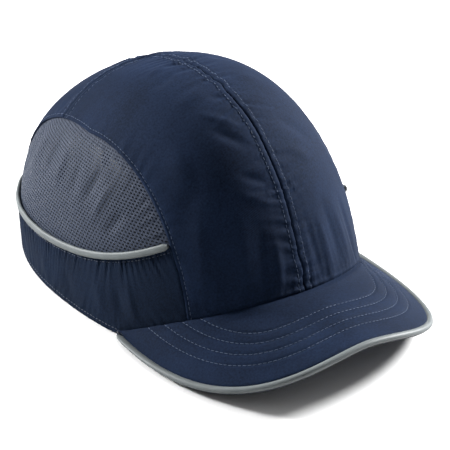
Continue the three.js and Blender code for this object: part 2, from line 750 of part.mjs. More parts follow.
function addClosure() {
  const place = (t) => openingPlace(lerp(BINDING_START_TURN, 90, t), BINDING_INSET);
  const left = trace(place, 13);
  const right = left.slice(0, -1).reverse().map(([azimuth, rise]) => [360 - azimuth, rise]);
  const rings = beadRings([...left, ...right], BINDING_RADIUS, BINDING_RADIUS, -FABRIC / 2);
  add("opening_binding", tube(rings), COLOUR.navy);

  const strapTopShare = (STRAP_TOP + BINDING_RADIUS) / OPENING_HEIGHT;
  const narrowing = (1 - strapTopShare ** OPENING_POWER) ** (1 / OPENING_POWER);
  const hookStart = BINDING_INSET + BINDING_RADIUS + BINDING_CLEARANCE - OPENING_HALF_WIDTH * narrowing;
  const loopLift = -FABRIC - LAYER_GAP - SWEATBAND - STRAP_GAP;
  const loopPadLift = loopLift + PAD_GAP + PAD;
  const hookPadLift = loopPadLift + PAD_GAP + PAD;
  const hookLift = hookPadLift + PAD_GAP + STRAP;
  const padBottom = STRAP_BOTTOM + PAD_MARGIN;
  const padTop = STRAP_TOP - PAD_MARGIN;
  const strap = (from, to, lift, count) => {
    return rearStrip(from, to, STRAP_BOTTOM, STRAP_TOP, lift, STRAP, count);
  };
  const pad = (from, to, lift) => rearStrip(from, to, padBottom, padTop, lift, PAD, 9);
  add("hook_strap", strap(hookStart, HOOK_STRAP_REACH, hookLift, 14), COLOUR.navy);
  add("hook_pad", pad(HOOK_PAD_FROM, HOOK_STRAP_REACH - PAD_MARGIN, hookPadLift), COLOUR.hook);
  add("loop_pad", pad(PAD_MARGIN - LOOP_STRAP_REACH, LOOP_PAD_FROM, loopPadLift), COLOUR.hook);
  add("loop_strap", strap(-LOOP_STRAP_REACH, LOOP_STRAP_TAIL, loopLift, 18), COLOUR.navy);
}

function shellEdgeHeight(azimuth) {
  const span = SHELL_REAR_EDGE_TO - SHELL_REAR_EDGE_FROM;
  const turned = clamp((Math.abs(azimuth) - SHELL_REAR_EDGE_FROM) / span, 0, 1);
  const rearLift = SHELL_REAR_EDGE_LIFT * turned * turned * (3 - 2 * turned);
  return SHELL_EDGE_ABOVE_RIM + rimHeight(azimuth) + rearLift;
}

function toManifold(geometry) {
  const vertProperties = new Float32Array(geometry.attributes.position.array);
  const triVerts = new Uint32Array(geometry.index.array);
  return new wasm.Manifold(new wasm.Mesh({ numProp: 3, vertProperties, triVerts }));
}

function fromManifold(solid) {
  const mesh = solid.getMesh();
  const geometry = new THREE.BufferGeometry();
  geometry.setAttribute("position", new THREE.BufferAttribute(new Float32Array(mesh.vertProperties), 3));
  geometry.setIndex(new THREE.BufferAttribute(new Uint32Array(mesh.triVerts), 1));
  geometry.computeVertexNormals();
  return geometry;
}

// A slot-shaped cutter through the shell, with its long side running up the crown.
function ventCutter(azimuth, rise) {
  const { upward, normal } = crownAxes(SHELL_FORM, azimuth, rise);
  const long = upward.clone().normalize();
  const across = new THREE.Vector3().crossVectors(normal, long).normalize();
  const centre = crownPoint(SHELL_FORM, azimuth, rise);
  const radius = VENT_WIDTH / 2;
  const straight = VENT_LENGTH / 2 - radius;
  const ring = (lift) => trace((t) => {
    const turn = rad(360 * t);
    const p = centre.clone().addScaledVector(normal, lift);
    p.addScaledVector(across, radius * Math.cos(turn));
    return p.addScaledVector(long, radius * Math.sin(turn) + straight * Math.sign(Math.sin(turn + 1e-6)));
  }, 11).slice(0, 10);
  return toManifold(tube([ring(-3 * SHELL), ring(3 * SHELL)]));
}

function addShell() {
  const grid = trace((w) => trace((t) => {
    const azimuth = lerp(-180, 180, t);
    const foot = riseOfHeight(SHELL_FORM, azimuth, shellEdgeHeight(azimuth));
    return [azimuth, lerp(foot, SHELL_TOP_RISE, w)];
  }, 37).slice(0, 36), 9);
  let solid = toManifold(sheet(...facePoints(SHELL_FORM, grid, 0, -SHELL), true));
  for (const [azimuth, rise] of VENT_PLACES) {
    solid = solid.subtract(ventCutter(azimuth, rise));
    solid = solid.subtract(ventCutter(-azimuth, rise));
  }
  add("bump_shell", fromManifold(solid), COLOUR.shell, 0.5);
}

function addFoam() {
  const lift = -SHELL - FOAM_GAP;
  for (const { name, azimuths, rises, columns, rows } of FOAM_PADS) {
    const grid = trace((w) => trace((t) => [lerp(...azimuths, t), lerp(...rises, w)], columns), rows);
    add("foam_pad_" + name, sheet(...facePoints(SHELL_FORM, grid, lift, lift - FOAM)), COLOUR.foam, 0.95);
  }
}

// The two halves of the hook-and-loop patch between the cap and the insert.
function addPatches() {
  const grid = trace((w) => trace((t) => {
    return [lerp(-PATCH_HALF_SPAN, PATCH_HALF_SPAN, t), lerp(PATCH_FROM_RISE, PATCH_TO_RISE, w)];
  }, 8), 5);
  const capLift = -FABRIC - 2 * LAYER_GAP - TAPE;
  const patch = (form, lift) => sheet(...facePoints(form, grid, lift, lift - PATCH_THICKNESS));
  add("crown_loop_patch", patch(CAP_FORM, capLift), COLOUR.hook);
  add("insert_hook_patch", patch(SHELL_FORM, LAYER_GAP / 2 + PATCH_THICKNESS), COLOUR.hook);
}

addPanels();
addSidePiping();
addTapes();
addSweatband();
addVisor();
addClosure();
addShell();
addFoam();
addPatches();

// The part's frame stands centred under its bounding box, level with the rim.
const bounds = new THREE.Box3().setFromObject(group);
const middle = bounds.getCenter(new THREE.Vector3());
group.children.forEach((mesh) => mesh.geometry.translate(-middle.x, -middle.y, -bounds.min.z));

export default group;
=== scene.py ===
"""Looks of the navy bump cap: fabric crown, mesh sides, stiff visor, rear strap and the safety insert."""
import json  # noqa: E402
import logging  # noqa: E402
import math  # noqa: E402
from dataclasses import dataclass  # noqa: E402
from enum import Enum  # noqa: E402
from typing import Callable, Sequence  # noqa: E402

import bpy  # noqa: E402
import numpy as np  # noqa: E402
from mathutils import Matrix, Vector  # noqa: E402

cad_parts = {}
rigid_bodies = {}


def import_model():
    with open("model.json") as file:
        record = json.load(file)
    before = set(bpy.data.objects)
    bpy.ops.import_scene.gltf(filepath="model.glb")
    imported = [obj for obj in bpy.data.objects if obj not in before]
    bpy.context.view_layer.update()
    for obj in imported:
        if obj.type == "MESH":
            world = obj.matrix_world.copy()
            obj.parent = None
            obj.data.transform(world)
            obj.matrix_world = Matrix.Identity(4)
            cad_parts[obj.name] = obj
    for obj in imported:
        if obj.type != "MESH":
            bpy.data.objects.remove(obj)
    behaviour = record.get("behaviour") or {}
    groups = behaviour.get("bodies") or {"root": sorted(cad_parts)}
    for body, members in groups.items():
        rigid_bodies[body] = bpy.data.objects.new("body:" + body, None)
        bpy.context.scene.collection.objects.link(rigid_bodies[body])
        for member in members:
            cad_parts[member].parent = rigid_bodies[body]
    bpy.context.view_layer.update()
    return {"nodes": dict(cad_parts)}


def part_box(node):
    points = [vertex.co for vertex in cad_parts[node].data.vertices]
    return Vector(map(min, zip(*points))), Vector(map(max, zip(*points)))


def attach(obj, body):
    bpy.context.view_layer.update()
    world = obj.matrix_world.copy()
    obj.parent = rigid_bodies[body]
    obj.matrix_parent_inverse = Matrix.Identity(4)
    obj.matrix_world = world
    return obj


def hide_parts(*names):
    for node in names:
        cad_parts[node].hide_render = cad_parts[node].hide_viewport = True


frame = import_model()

LOG = logging.getLogger("bump_cap")
MM = 0.001
HALVINGS = 34
HIGHEST_RISE = 80.0
POINTS_AT_ONCE = 8000
NARROWEST_CUT = 10.5
LEAST_SPARE = 1.002
BEAD_SIDES = 16
SHARP_EDGE = 0.9
HOOK_RADIUS = 0.22
NORMAL = "cloth_normal"
Array = np.ndarray
Piece = bpy.types.Object
Material = bpy.types.Material
Socket = bpy.types.NodeSocket
Test = Callable[[Array], Array]


class Side(Enum):
    """The wearer's side that a piece is sewn on."""

    LEFT = 1
    RIGHT = -1

    @property
    def word(self) -> str:
        """The side's name in lower case."""
        return self.name.lower()

    def turned(self, places: Array) -> Array:
        """Turns places from the wearer's left over to this side."""
        return places if self is Side.LEFT else mirrored(places)


class Slot(Enum):
    """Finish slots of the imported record."""

    NAVY = "navy_fabric"
    MESH = "side_mesh"
    PIPING = "reflective_piping"
    BOARD = "visor_board"
    SWEAT = "sweatband_fabric"
    TAPE = "seam_tape"
    SHELL = "abs_shell"
    FOAM = "eva_foam"
    HOOK = "hook_and_loop"
    LABEL = "label_fabric"


def find_change(low: Array, high: Array, is_before: Test) -> Array:
    """Finds where a test stops being true, by halving.

    Args:
        low: Values at which the test is true.
        high: Values at which it is false.
        is_before: The test, on an array of values.

    Returns:
        The values at the change.
    """
    a, b = np.broadcast_arrays(np.asarray(low, float), np.asarray(high, float))
    a, b = a.copy(), b.copy()
    for _ in range(HALVINGS):
        middle = (a + b) / 2
        before = is_before(middle)
        a, b = np.where(before, middle, a), np.where(before, b, middle)
    return (a + b) / 2


def signed_power(value: Array, power: float) -> Array:
    """Raises the size of a value to a power and keeps its sign."""
    return np.sign(value) * np.abs(value) ** power


def unit(vectors: Array) -> Array:
    """Scales vectors to length 1."""
    return vectors / np.maximum(np.linalg.norm(vectors, axis=-1, keepdims=True), 1e-9)


def smooth(t: Array) -> Array:
    """Eases a value from 0 to 1."""
    t = np.clip(t, 0, 1)
    return t * t * (3 - 2 * t)


def hump(distance: Array, width: float) -> Array:
    """A bell curve of height 1 and the given half width."""
    return np.exp(-((distance / width) ** 2))


def clustered(count: int, pull: float = 0.6) -> Array:
    """Spreads values from 0 to 1, closer together at both ends.

    Args:
        count: How many values.
        pull: How much closer they are at the ends, from 0 to 1.

    Returns:
        The values, in order.
    """
    t = np.linspace(0, 1, count)
    return t - pull * np.sin(2 * math.pi * t) / (2 * math.pi)


@dataclass(frozen=True)
class CrownForm:
    """A crown's outer form. A place on it is azimuth and rise in degrees, and lengths are millimetres."""

    half_width: float = 87.0
    front_reach: float = 124.0
    rear_reach: float = 110.0
    junction_height: float = 119.0
    junction_back: float = 38.0
    crest_slope: float = 0.4
    shift_power: float = 1.2
    plan_power: float = 2.25
    front_power: float = 2.1
    side_power: float = 2.2
    rear_power: float = 2.0

    def point(self, places: Array) -> Array:
        """Gives the points at places on the crown.

        Args:
            places: Azimuths and rises, in the last axis.

        Returns:
            Points in millimetres.
        """
        places = np.asarray(places, float)
        azimuth, rise = np.radians(places[..., 0]), np.radians(places[..., 1])
        to_side, to_front = np.sin(azimuth), np.cos(azimuth)
        ahead = to_front > 0
        end_power = np.where(ahead, self.front_power, self.rear_power)
        power = self.side_power + (end_power - self.side_power) * to_front**2
        reach = np.where(ahead, self.front_reach, self.rear_reach)
        out = np.abs(np.cos(rise)) ** (2 / power)
        up = np.abs(np.sin(rise)) ** (2 / power)
        x = self.half_width * signed_power(to_side, 2 / self.plan_power) * out
        plan = -reach * signed_power(to_front, 2 / self.plan_power) * out
        y = self.junction_back * up**self.shift_power + plan
        z = up * (self.junction_height + self.crest_slope * (self.junction_back - y))
        return np.stack([x, y, z], -1)

    def axes(self, places: Array) -> tuple[Array, Array, Array]:
        """Gives the directions round and up the crown per degree, and the outward normal."""
        places = np.asarray(places, float)
        azimuth, rise = places[..., 0], places[..., 1]
        step = 0.4
        low, high = np.maximum(rise - step, 0.01), np.minimum(rise + step, 89.9)
        around = self.point(np.stack([azimuth + step, rise], -1))
        around = (around - self.point(np.stack([azimuth - step, rise], -1))) / (2 * step)
        upward = self.point(np.stack([azimuth, high], -1)) - self.point(np.stack([azimuth, low], -1))
        upward = upward / (high - low)[..., None]
        return around, upward, unit(np.cross(around, upward))

    def normal(self, places: Array) -> Array:
        """Gives the crown's outward normals at places."""
        return self.axes(places)[2]

    def lifted(self, places: Array, lift: Array | float) -> Array:
        """Gives points a distance outside the crown, or inside it where the distance is negative."""
        lift = np.asarray(lift, float)[..., None]
        return self.point(places) + self.normal(places) * lift

    def rise_where(self, azimuth: Array, is_before: Test) -> Array:
        """Finds the rise at which a test on the crown's points stops being true."""
        azimuth = np.asarray(azimuth, float)
        low, high = np.zeros(azimuth.shape), np.full(azimuth.shape, HIGHEST_RISE)
        return find_change(low, high, lambda rise: is_before(self.point(np.stack([azimuth, rise], -1))))

    def rise_of_height(self, azimuth: Array, height: Array) -> Array:
        """Finds the rise at which the crown reaches a height."""
        azimuth, height = np.broadcast_arrays(np.asarray(azimuth, float), height)
        return self.rise_where(azimuth, lambda points: points[..., 2] < height)

    def at_height(self, azimuth: Array, height: Array) -> Array:
        """Gives the places at azimuths and heights."""
        return np.stack([azimuth, self.rise_of_height(azimuth, height)], -1)

    def beside(self, places: Array, distance: float) -> Array:
        """Moves a curve of places sideways along the surface.

        Args:
            places: The curve.
            distance: How far, in millimetres, with positive to the left of its direction seen from outside.

        Returns:
            The moved curve.
        """
        tangent = np.gradient(self.point(places), axis=0)
        around, upward, normal = self.axes(places)
        across = unit(np.cross(normal, tangent)) * distance
        aa, au, uu = (around**2).sum(-1), (around * upward).sum(-1), (upward**2).sum(-1)
        ca, cu = (across * around).sum(-1), (across * upward).sum(-1)
        scale = aa * uu - au * au
        moved = np.stack([(ca * uu - cu * au) / scale, (cu * aa - ca * au) / scale], -1)
        return places + moved


def along(points: Array) -> Array:
    """Gives the distance travelled at each point of a line."""
    return np.concatenate([[0], np.cumsum(np.linalg.norm(np.diff(points, axis=0), axis=1))])


def upright(azimuth: float, low: float, high: float, count: int) -> Array:
    """Gives places straight up the crown between two rises."""
    return np.stack([np.full(count, azimuth), np.linspace(low, high, count)], -1)


def nearest(points: Array, line: Array) -> tuple[Array, Array]:
    """Gives each point's distance to a dense line, and the number of the line's nearest point."""
    flat = points.reshape(-1, 3)
    distance, number = np.empty(len(flat)), np.empty(len(flat), int)
    for i in range(0, len(flat), POINTS_AT_ONCE):
        gap = ((flat[i : i + POINTS_AT_ONCE, None] - line[None]) ** 2).sum(-1)
        here = gap.argmin(1)
        distance[i : i + POINTS_AT_ONCE] = np.sqrt(gap[np.arange(len(here)), here])
        number[i : i + POINTS_AT_ONCE] = here
    return distance.reshape(points.shape[:-1]), number.reshape(points.shape[:-1])


def mirrored(places: Array) -> Array:
    """Turns places over to the wearer's other side."""
    return places * np.array([-1.0, 1.0])


@dataclass(frozen=True)
class CapPattern:
    """Seam lines of the cap on its crown form, on the wearer's left."""

    form: CrownForm = CrownForm()
    rim_front_height: float = 35.0
    visor_corner_azimuth: float = 70.6
    rim_arch_power: float = 2.1
    hem_behind_visor: float = 4.0
    side_seam_x: float = 61.5
    side_seam_taper: float = 0.12
    side_seam_taper_from_y: float = 10.0
    rear_seam_azimuth: float = 100.0
    seam_top_rise: float = 89.5
    piping_rear_height: float = 27.0
    piping_front_lift: float = 34.5
    piping_front_y: float = -72.0
    piping_fade: float = 50.0
    opening_half_width: float = 34.0
    opening_height: float = 58.0
    opening_power: float = 2.4

    def rim_height(self, azimuth: Array) -> Array:
        """Height of the rim, which arches over the forehead."""
        share = np.minimum(np.abs(azimuth) / self.visor_corner_azimuth, 1)
        return self.rim_front_height * (1 - share**self.rim_arch_power)

    def hem_height(self, azimuth: Array) -> Array:
        """Height of the crown's own bottom edge."""
        return np.maximum(0, self.rim_height(azimuth) - self.hem_behind_visor)

    def hem_rise(self, azimuth: Array) -> Array:
        """Rise of the crown's own bottom edge."""
        return self.form.rise_of_height(azimuth, self.hem_height(azimuth))

    def arch_rise(self, azimuth: Array) -> Array:
        """Rise of the seam over the mesh panel."""

        def outside(points: Array) -> Array:
            behind = np.maximum(0, points[..., 1] - self.side_seam_taper_from_y)
            return np.abs(points[..., 0]) > self.side_seam_x - self.side_seam_taper * behind

        return self.form.rise_where(azimuth, outside)

    def piping_rise(self, azimuth: Array) -> Array:
        """Rise of the piping under the mesh panel."""

        def under(points: Array) -> Array:
            front = np.exp((self.piping_front_y - points[..., 1]) / self.piping_fade)
            return points[..., 2] < self.piping_rear_height + self.piping_front_lift * front

        return self.form.rise_where(azimuth, under)

    def place_where(self, start: float, end: float, height: Array, is_before: Test) -> Array:
        """Finds the places at given heights where a test on the crown's width stops being true."""

        def before(azimuth: Array) -> Array:
            return is_before(self.form.point(self.form.at_height(azimuth, height))[..., 0])

        azimuth = find_change(np.full(height.shape, start), np.full(height.shape, end), before)
        return self.form.at_height(azimuth, height)

    def seam_place(self, height: Array) -> Array:
        """Places on the front of the side seam at given heights."""
        return self.place_where(0.0, 90.0, np.asarray(height, float), lambda x: x < self.side_seam_x)

    def rear_place(self, x: Array, height: Array) -> Array:
        """Places on the back of the crown, a distance left of the middle and at a height."""
        x, height = np.broadcast_arrays(np.asarray(x, float), np.asarray(height, float))
        places = self.place_where(90.0, 180.0, height, lambda reached: reached > np.abs(x))
        places[..., 0] = np.where(x < 0, 360 - places[..., 0], places[..., 0])
        return places

    def opening_place(self, turn: Array, inset: float = 0.0) -> Array:
        """Places on the edge of the back opening, from the rim at turn 0 to the top at turn 90."""
        turn = np.radians(np.asarray(turn, float))
        across = np.abs(np.cos(turn)) ** (2 / self.opening_power) * (self.opening_half_width - inset)
        up = np.abs(np.sin(turn)) ** (2 / self.opening_power) * (self.opening_height - inset)
        return self.rear_place(across, up)

    def spread(self, places: Array, count: int) -> Array:
        """Spreads the places of a curve evenly by distance on the crown."""
        travelled = along(self.form.point(places))
        goal = np.linspace(0, travelled[-1], count)
        return np.stack([np.interp(goal, travelled, places[:, k]) for k in (0, 1)], -1)

    def line(self, rise: Test, start: float, end: float, count: int) -> Array:
        """Places along a seam whose rise is known at each azimuth."""
        azimuth = np.linspace(start, end, count)
        return np.stack([azimuth, rise(azimuth)], -1)


@dataclass
class SeamMap:
    """Corner places and seam curves worked out once from the pattern."""

    pattern: CapPattern

    def __post_init__(self) -> None:
        """Finds the corners, then traces the seams between them."""
        p, form = self.pattern, self.pattern.form

        def before_foot(azimuth: Array) -> Array:
            return form.point(np.stack([azimuth, p.hem_rise(azimuth)], -1))[..., 0] < p.side_seam_x

        def below_piping(turn: Array) -> Array:
            place = p.opening_place(turn)
            return place[..., 1] < p.piping_rise(place[..., 0])

        self.foot = float(find_change(0.0, 90.0, before_foot))
        self.mesh_front = float(find_change(self.foot, 65.0, lambda a: p.arch_rise(a) < p.piping_rise(a)))
        self.mesh_rear = float(find_change(125.0, 158.0, lambda a: p.arch_rise(a) > p.piping_rise(a)))
        corner_turn = float(find_change(0.0, 89.0, below_piping))
        corner = p.opening_place(np.array([corner_turn]))[0]
        across, top = p.rear_seam_azimuth, p.seam_top_rise
        self.hem = p.line(p.hem_rise, 0, self.foot, 60)
        head = form.point(np.array([self.mesh_front, p.piping_rise(self.mesh_front)]))[2]
        self.side_seam = p.seam_place(np.linspace(p.hem_height(self.foot), head, 40))
        self.front_arch = p.line(p.arch_rise, self.mesh_front, across, 160)
        self.rear_arch = p.line(p.arch_rise, across, self.mesh_rear, 120)
        self.rear_seam = upright(across, p.arch_rise(across), top, 120)
        self.centre_seam = upright(0.0, p.hem_rise(0.0), top, 200)
        self.back_seam = upright(180.0, form.rise_of_height(180.0, p.opening_height), top, 80)
        self.opening_upper = p.opening_place(np.linspace(corner_turn, 90, 60))
        self.opening_lower = p.opening_place(np.linspace(0, corner_turn, 30))
        self.piping_line = p.line(p.piping_rise, self.mesh_front, corner[0], 200)
        self.piping_tail = p.line(p.piping_rise, self.mesh_rear, corner[0], 20)
        self.band_hem = p.line(p.hem_rise, self.foot, self.opening_lower[0][0], 200)


PATTERN = CapPattern()
SEAMS = SeamMap(PATTERN)


class SeamLine:
    """A seam as a dense line of points, which tells how near other points are."""

    def __init__(self, places: Array) -> None:
        """Traces the line with a point about every millimetre."""
        length = along(PATTERN.form.point(places))[-1]
        self.points = PATTERN.form.point(PATTERN.spread(places, max(8, int(length))))
        self.travel = along(self.points)

    def near(self, points: Array) -> tuple[Array, Array]:
        """Gives each point's distance to the line and how far along the line that is."""
        distance, number = nearest(points, self.points)
        return distance, self.travel[number]


@dataclass(frozen=True)
class Crease:
    """A soft fold from one place to another: positive heights are ridges, negative ones hollows."""

    start: tuple[float, float]
    end: tuple[float, float]
    width: float
    height: float

    def lift(self, points: Array) -> Array:
        """Gives the fold's height at points in millimetres."""
        a, b = PATTERN.form.point(np.array([self.start, self.end]))
        run = b - a
        t = ((points - a) @ run) / (run @ run)
        foot = a + np.clip(t, 0, 1)[..., None] * run
        distance = np.linalg.norm(points - foot, axis=-1)
        taper = smooth(np.clip(1.1 - np.abs(2 * np.clip(t, 0, 1) - 1), 0, 1))
        return self.height * hump(distance, self.width) * taper


class Ripple:
    """Uneven waves along a seam, the same each time."""

    def __init__(self, seed: int, shortest: float, longest: float, waves: int = 9) -> None:
        """Picks the waves' lengths and places from a fixed seed."""
        picks = np.random.default_rng(seed)
        self.lengths = np.exp(picks.uniform(math.log(shortest), math.log(longest), waves))
        self.turns = picks.uniform(0, 2 * math.pi, waves)

    def at(self, travel: Array) -> Array:
        """Gives the wave height, about -1 to 1, at distances along the seam."""
        waves = np.sin(2 * math.pi * travel[..., None] / self.lengths + self.turns)
        return waves.sum(-1) / math.sqrt(len(self.lengths)) / 1.2


CENTRE_WAVER = Ripple(61, 6.0, 18.0)


def wander(points: Array) -> Array:
    """Moves cloth near the centre seam a little to each side, as the seam does not run quite straight."""
    shift = 0.7 * hump(points[..., 0], 6.0) * CENTRE_WAVER.at(points[..., 2] - points[..., 1])
    return points + shift[..., None] * np.array([1.0, 0.0, 0.0])


def creases(*rows: tuple[float, ...]) -> tuple[Crease, ...]:
    """Makes folds from rows of azimuth and rise at each end, width and height."""
    return tuple(Crease((a, b), (c, d), width, height) for a, b, c, d, width, height in rows)


CROWN_CREASES = creases(
    (-22, 47, -5, 40, 3.0, -1.0), (-25, 52, -4, 45, 2.6, 0.8), (-16, 35, -2, 31, 2.4, -0.9),
    (-19, 31, -3, 27, 2.6, 0.8), (-14, 57, -2, 54, 2.2, -0.7), (-46, 62, -22, 70, 3.2, -1.0),
    (-50, 70, -20, 76, 2.8, 0.9), (-10, 60, -34, 54, 4.0, 0.7), (-18, 27, -21, 9, 3.6, 1.0),
    (-12, 25, -15, 9, 2.8, -1.1), (-7, 23, -8, 10, 2.6, 0.8), (-27, 24, -28, 9, 4.0, -0.9),
    (-35, 28, -34, 10, 4.6, 0.8), (-45, 20, -42, 8, 4.0, -0.8), (5, 24, 7, 10, 2.2, -0.7),
    (11, 24, 13, 9, 2.6, 0.8), (16, 26, 19, 9, 3.0, -1.0), (22, 24, 26, 8, 3.0, 0.9),
    (29, 24, 33, 8, 3.2, -0.9), (37, 40, 43, 12, 6.0, 0.9), (12, 46, 30, 36, 4.4, -0.8),
    (8, 38, 22, 33, 3.0, 0.6), (-42, 44, -34, 30, 6.4, 1.0), (-30, 40, -42, 20, 7.0, -0.8),
    (-66, 50, -58, 30, 6.0, 0.7), (-104, 66, -112, 48, 4.0, -0.9), (-120, 64, -128, 40, 4.8, 0.9),
    (-150, 70, -146, 48, 4.8, -0.9), (108, 68, 118, 46, 4.8, 0.9), (136, 66, 142, 40, 4.8, -0.9),
    (160, 70, 164, 52, 4.0, 0.8), (60, 66, 30, 72, 4.0, -0.8), (10, 62, 36, 56, 4.0, 0.7),
)

MESH_CREASES = creases(
    (-93, 48, -100, 26, 4.4, -1.3), (-87, 46, -93, 26, 3.8, 1.2), (-81, 42, -86, 24, 4.0, -1.0),
    (-71, 38, -81, 24, 3.4, -1.3), (-67, 34, -77, 21, 3.0, 1.2), (-62, 27, -72, 19, 3.2, -1.0),
    (-112, 44, -122, 24, 5.5, -1.1), (-105, 46, -113, 26, 4.5, 1.0), (70, 36, 80, 22, 5.0, -1.3),
    (86, 44, 90, 26, 5.0, 1.0), (104, 42, 116, 24, 6.0, -1.2),
)

BAND_CREASES = creases(
    (-64, 12, -61, 3, 3.0, 0.8), (-68, 10, -66, 2, 3.5, -0.9), (-76, 10, -73, 2, 4.0, 0.8),
    (-88, 8, -86, 1, 4.5, -0.8), (-97, 8, -96, 1, 4.0, 0.7), (-118, 8, -114, 1, 5.0, -0.7),
    (62, 10, 58, 2, 4.0, -0.8), (78, 9, 76, 1, 5.0, 0.8), (96, 8, 98, 1, 5.0, -0.7),
    (120, 8, 118, 1, 5.0, 0.7),
)


@dataclass
class SeamDress:
    """How cloth sits at a seam: groove, ridge of the turned allowance, stitch line and puckers."""

    places: Array
    groove: float
    ridge: float
    stitch_at: float
    stitch_depth: float
    pucker: float
    pucker_reach: float
    seed: int
    groove_width: float = 0.6

    def __post_init__(self) -> None:
        """Traces the seam and picks its ripple."""
        self.line = SeamLine(self.places)
        self.ripple = Ripple(self.seed, 4.5, 17.0)

    def lift(self, points: Array) -> Array:
        """Gives the cloth's height near the seam in millimetres."""
        d, s = self.line.near(points)
        shape = -self.groove * hump(d, self.groove_width)
        shape += self.ridge * hump(d - 0.5 * self.stitch_at, 0.38 * self.stitch_at)
        shape -= self.stitch_depth * hump(d - self.stitch_at, 0.8)
        drift = s + 0.35 * d * np.sin(s / 23.0 + self.seed)
        fade = np.exp(-d / self.pucker_reach) * smooth(d / (1.4 * self.stitch_at))
        near_seam = 0.3 * self.pucker * self.ripple.at(1.7 * s + 11)
        near_seam = near_seam * hump(d - 0.5 * self.stitch_at, self.stitch_at)
        return shape + self.pucker * self.ripple.at(drift) * fade + near_seam


class Cloth:
    """The height of a cloth layer over the crown form, with its folds."""

    def __init__(
        self, base: float, creases: Sequence[Crease], seams: Sequence[SeamDress], wobble: float
    ) -> None:
        """Keeps what shapes the layer.

        Args:
            base: The layer's own height over the form, in millimetres.
            creases: Folds across it.
            seams: Seams that it is sewn into.
            wobble: Height of the broad unevenness of the cloth.
        """
        self.base, self.creases, self.seams, self.wobble = base, creases, seams, wobble

    def lift(self, places: Array) -> Array:
        """Gives the layer's height at places, in millimetres."""
        points = PATTERN.form.point(places)
        total = np.full(points.shape[:-1], self.base)
        for crease in self.creases:
            total += crease.lift(points)
        for seam in self.seams:
            total += seam.lift(points)
        x, y, z = points[..., 0], points[..., 1], points[..., 2]
        broad = np.sin(x / 19 + 0.7 * np.sin(y / 23)) * np.sin(y / 27 + 1.1) + 0.6 * np.sin(z / 13 + x / 31)
        return total + self.wobble * broad


def both(places: Array, **sizes: float) -> list[SeamDress]:
    """The same seam dress on both sides."""
    return [SeamDress(places, **sizes), SeamDress(mirrored(places), **{**sizes, "seed": sizes["seed"] + 50})]


def crown_cloth() -> Cloth:
    """The navy cloth of the crown."""
    main = dict(groove=0.6, ridge=0.25, stitch_at=4.4, stitch_depth=0.1, pucker=0.8, pucker_reach=9.0)
    seams = [SeamDress(SEAMS.centre_seam, seed=3, **main), SeamDress(SEAMS.back_seam, seed=4, **main)]
    seams += both(SEAMS.rear_seam, seed=5, **{**main, "pucker": 0.35, "pucker_reach": 9.0})
    hem = np.concatenate([SEAMS.side_seam, SEAMS.front_arch[1:], SEAMS.rear_arch[1:]])
    edge = dict(groove=0.35, ridge=0.2, stitch_at=2.4, stitch_depth=0.25, pucker=0.28, pucker_reach=8.0)
    seams += both(hem, seed=7, **edge)
    azimuth = np.linspace(-SEAMS.foot, SEAMS.foot, 120)
    brow = PATTERN.form.at_height(azimuth, PATTERN.rim_height(azimuth))
    root = dict(groove=0.35, ridge=0.3, stitch_at=3.0, stitch_depth=0.0, pucker=0.35, pucker_reach=12.0)
    seams.append(SeamDress(brow, seed=9, **root))
    return Cloth(0.0, CROWN_CREASES, seams, 0.3)


def band_cloth() -> Cloth:
    """The navy cloth of the side bands, gathered under the piping."""
    gather = dict(groove=0.5, ridge=0.15, stitch_at=3.6, stitch_depth=0.3, pucker=0.7, pucker_reach=7.5)
    hem = dict(groove=0.3, ridge=0.1, stitch_at=3.0, stitch_depth=0.2, pucker=0.3, pucker_reach=8.0)
    end = dict(groove=0.45, ridge=0.0, stitch_at=3.0, stitch_depth=0.0, pucker=0.2, pucker_reach=6.0)
    seams = both(SEAMS.piping_line, seed=21, **gather) + both(SEAMS.band_hem, seed=23, **hem)
    seams += both(SEAMS.side_seam, seed=25, **end)
    for dress in seams[:2]:
        dress.ripple = Ripple(dress.seed, 2.6, 7.5)
    return Cloth(0.0, BAND_CREASES, seams, 0.2)


def mesh_cloth() -> Cloth:
    """The airy knit of the side panels, which lies behind the navy edge."""
    sewn = dict(groove=0.2, ridge=0.0, stitch_at=3.0, stitch_depth=0.0, pucker=0.4, pucker_reach=9.0)
    arch = np.concatenate([SEAMS.front_arch, SEAMS.rear_arch[1:]])
    return Cloth(-1.1, MESH_CREASES, both(arch, seed=31, **sewn), 0.25)


class Placer:
    """Moves points from the pattern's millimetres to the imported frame's metres."""

    def __init__(self) -> None:
        """Finds the shift from where the visor board's front edge lies."""
        brow = PATTERN.form.point(np.array([0.0, PATTERN.form.rise_of_height(0.0, PATTERN.rim_front_height)]))
        board_front = brow[1] - VisorForm.length + VisorForm.edge_inset
        self.shift = np.array([0.0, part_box("visor_board")[0].y / MM - board_front, 0.0])

    def to_frame(self, points: Array) -> Array:
        """Gives the points in the frame, in metres."""
        return (points + self.shift) * MM


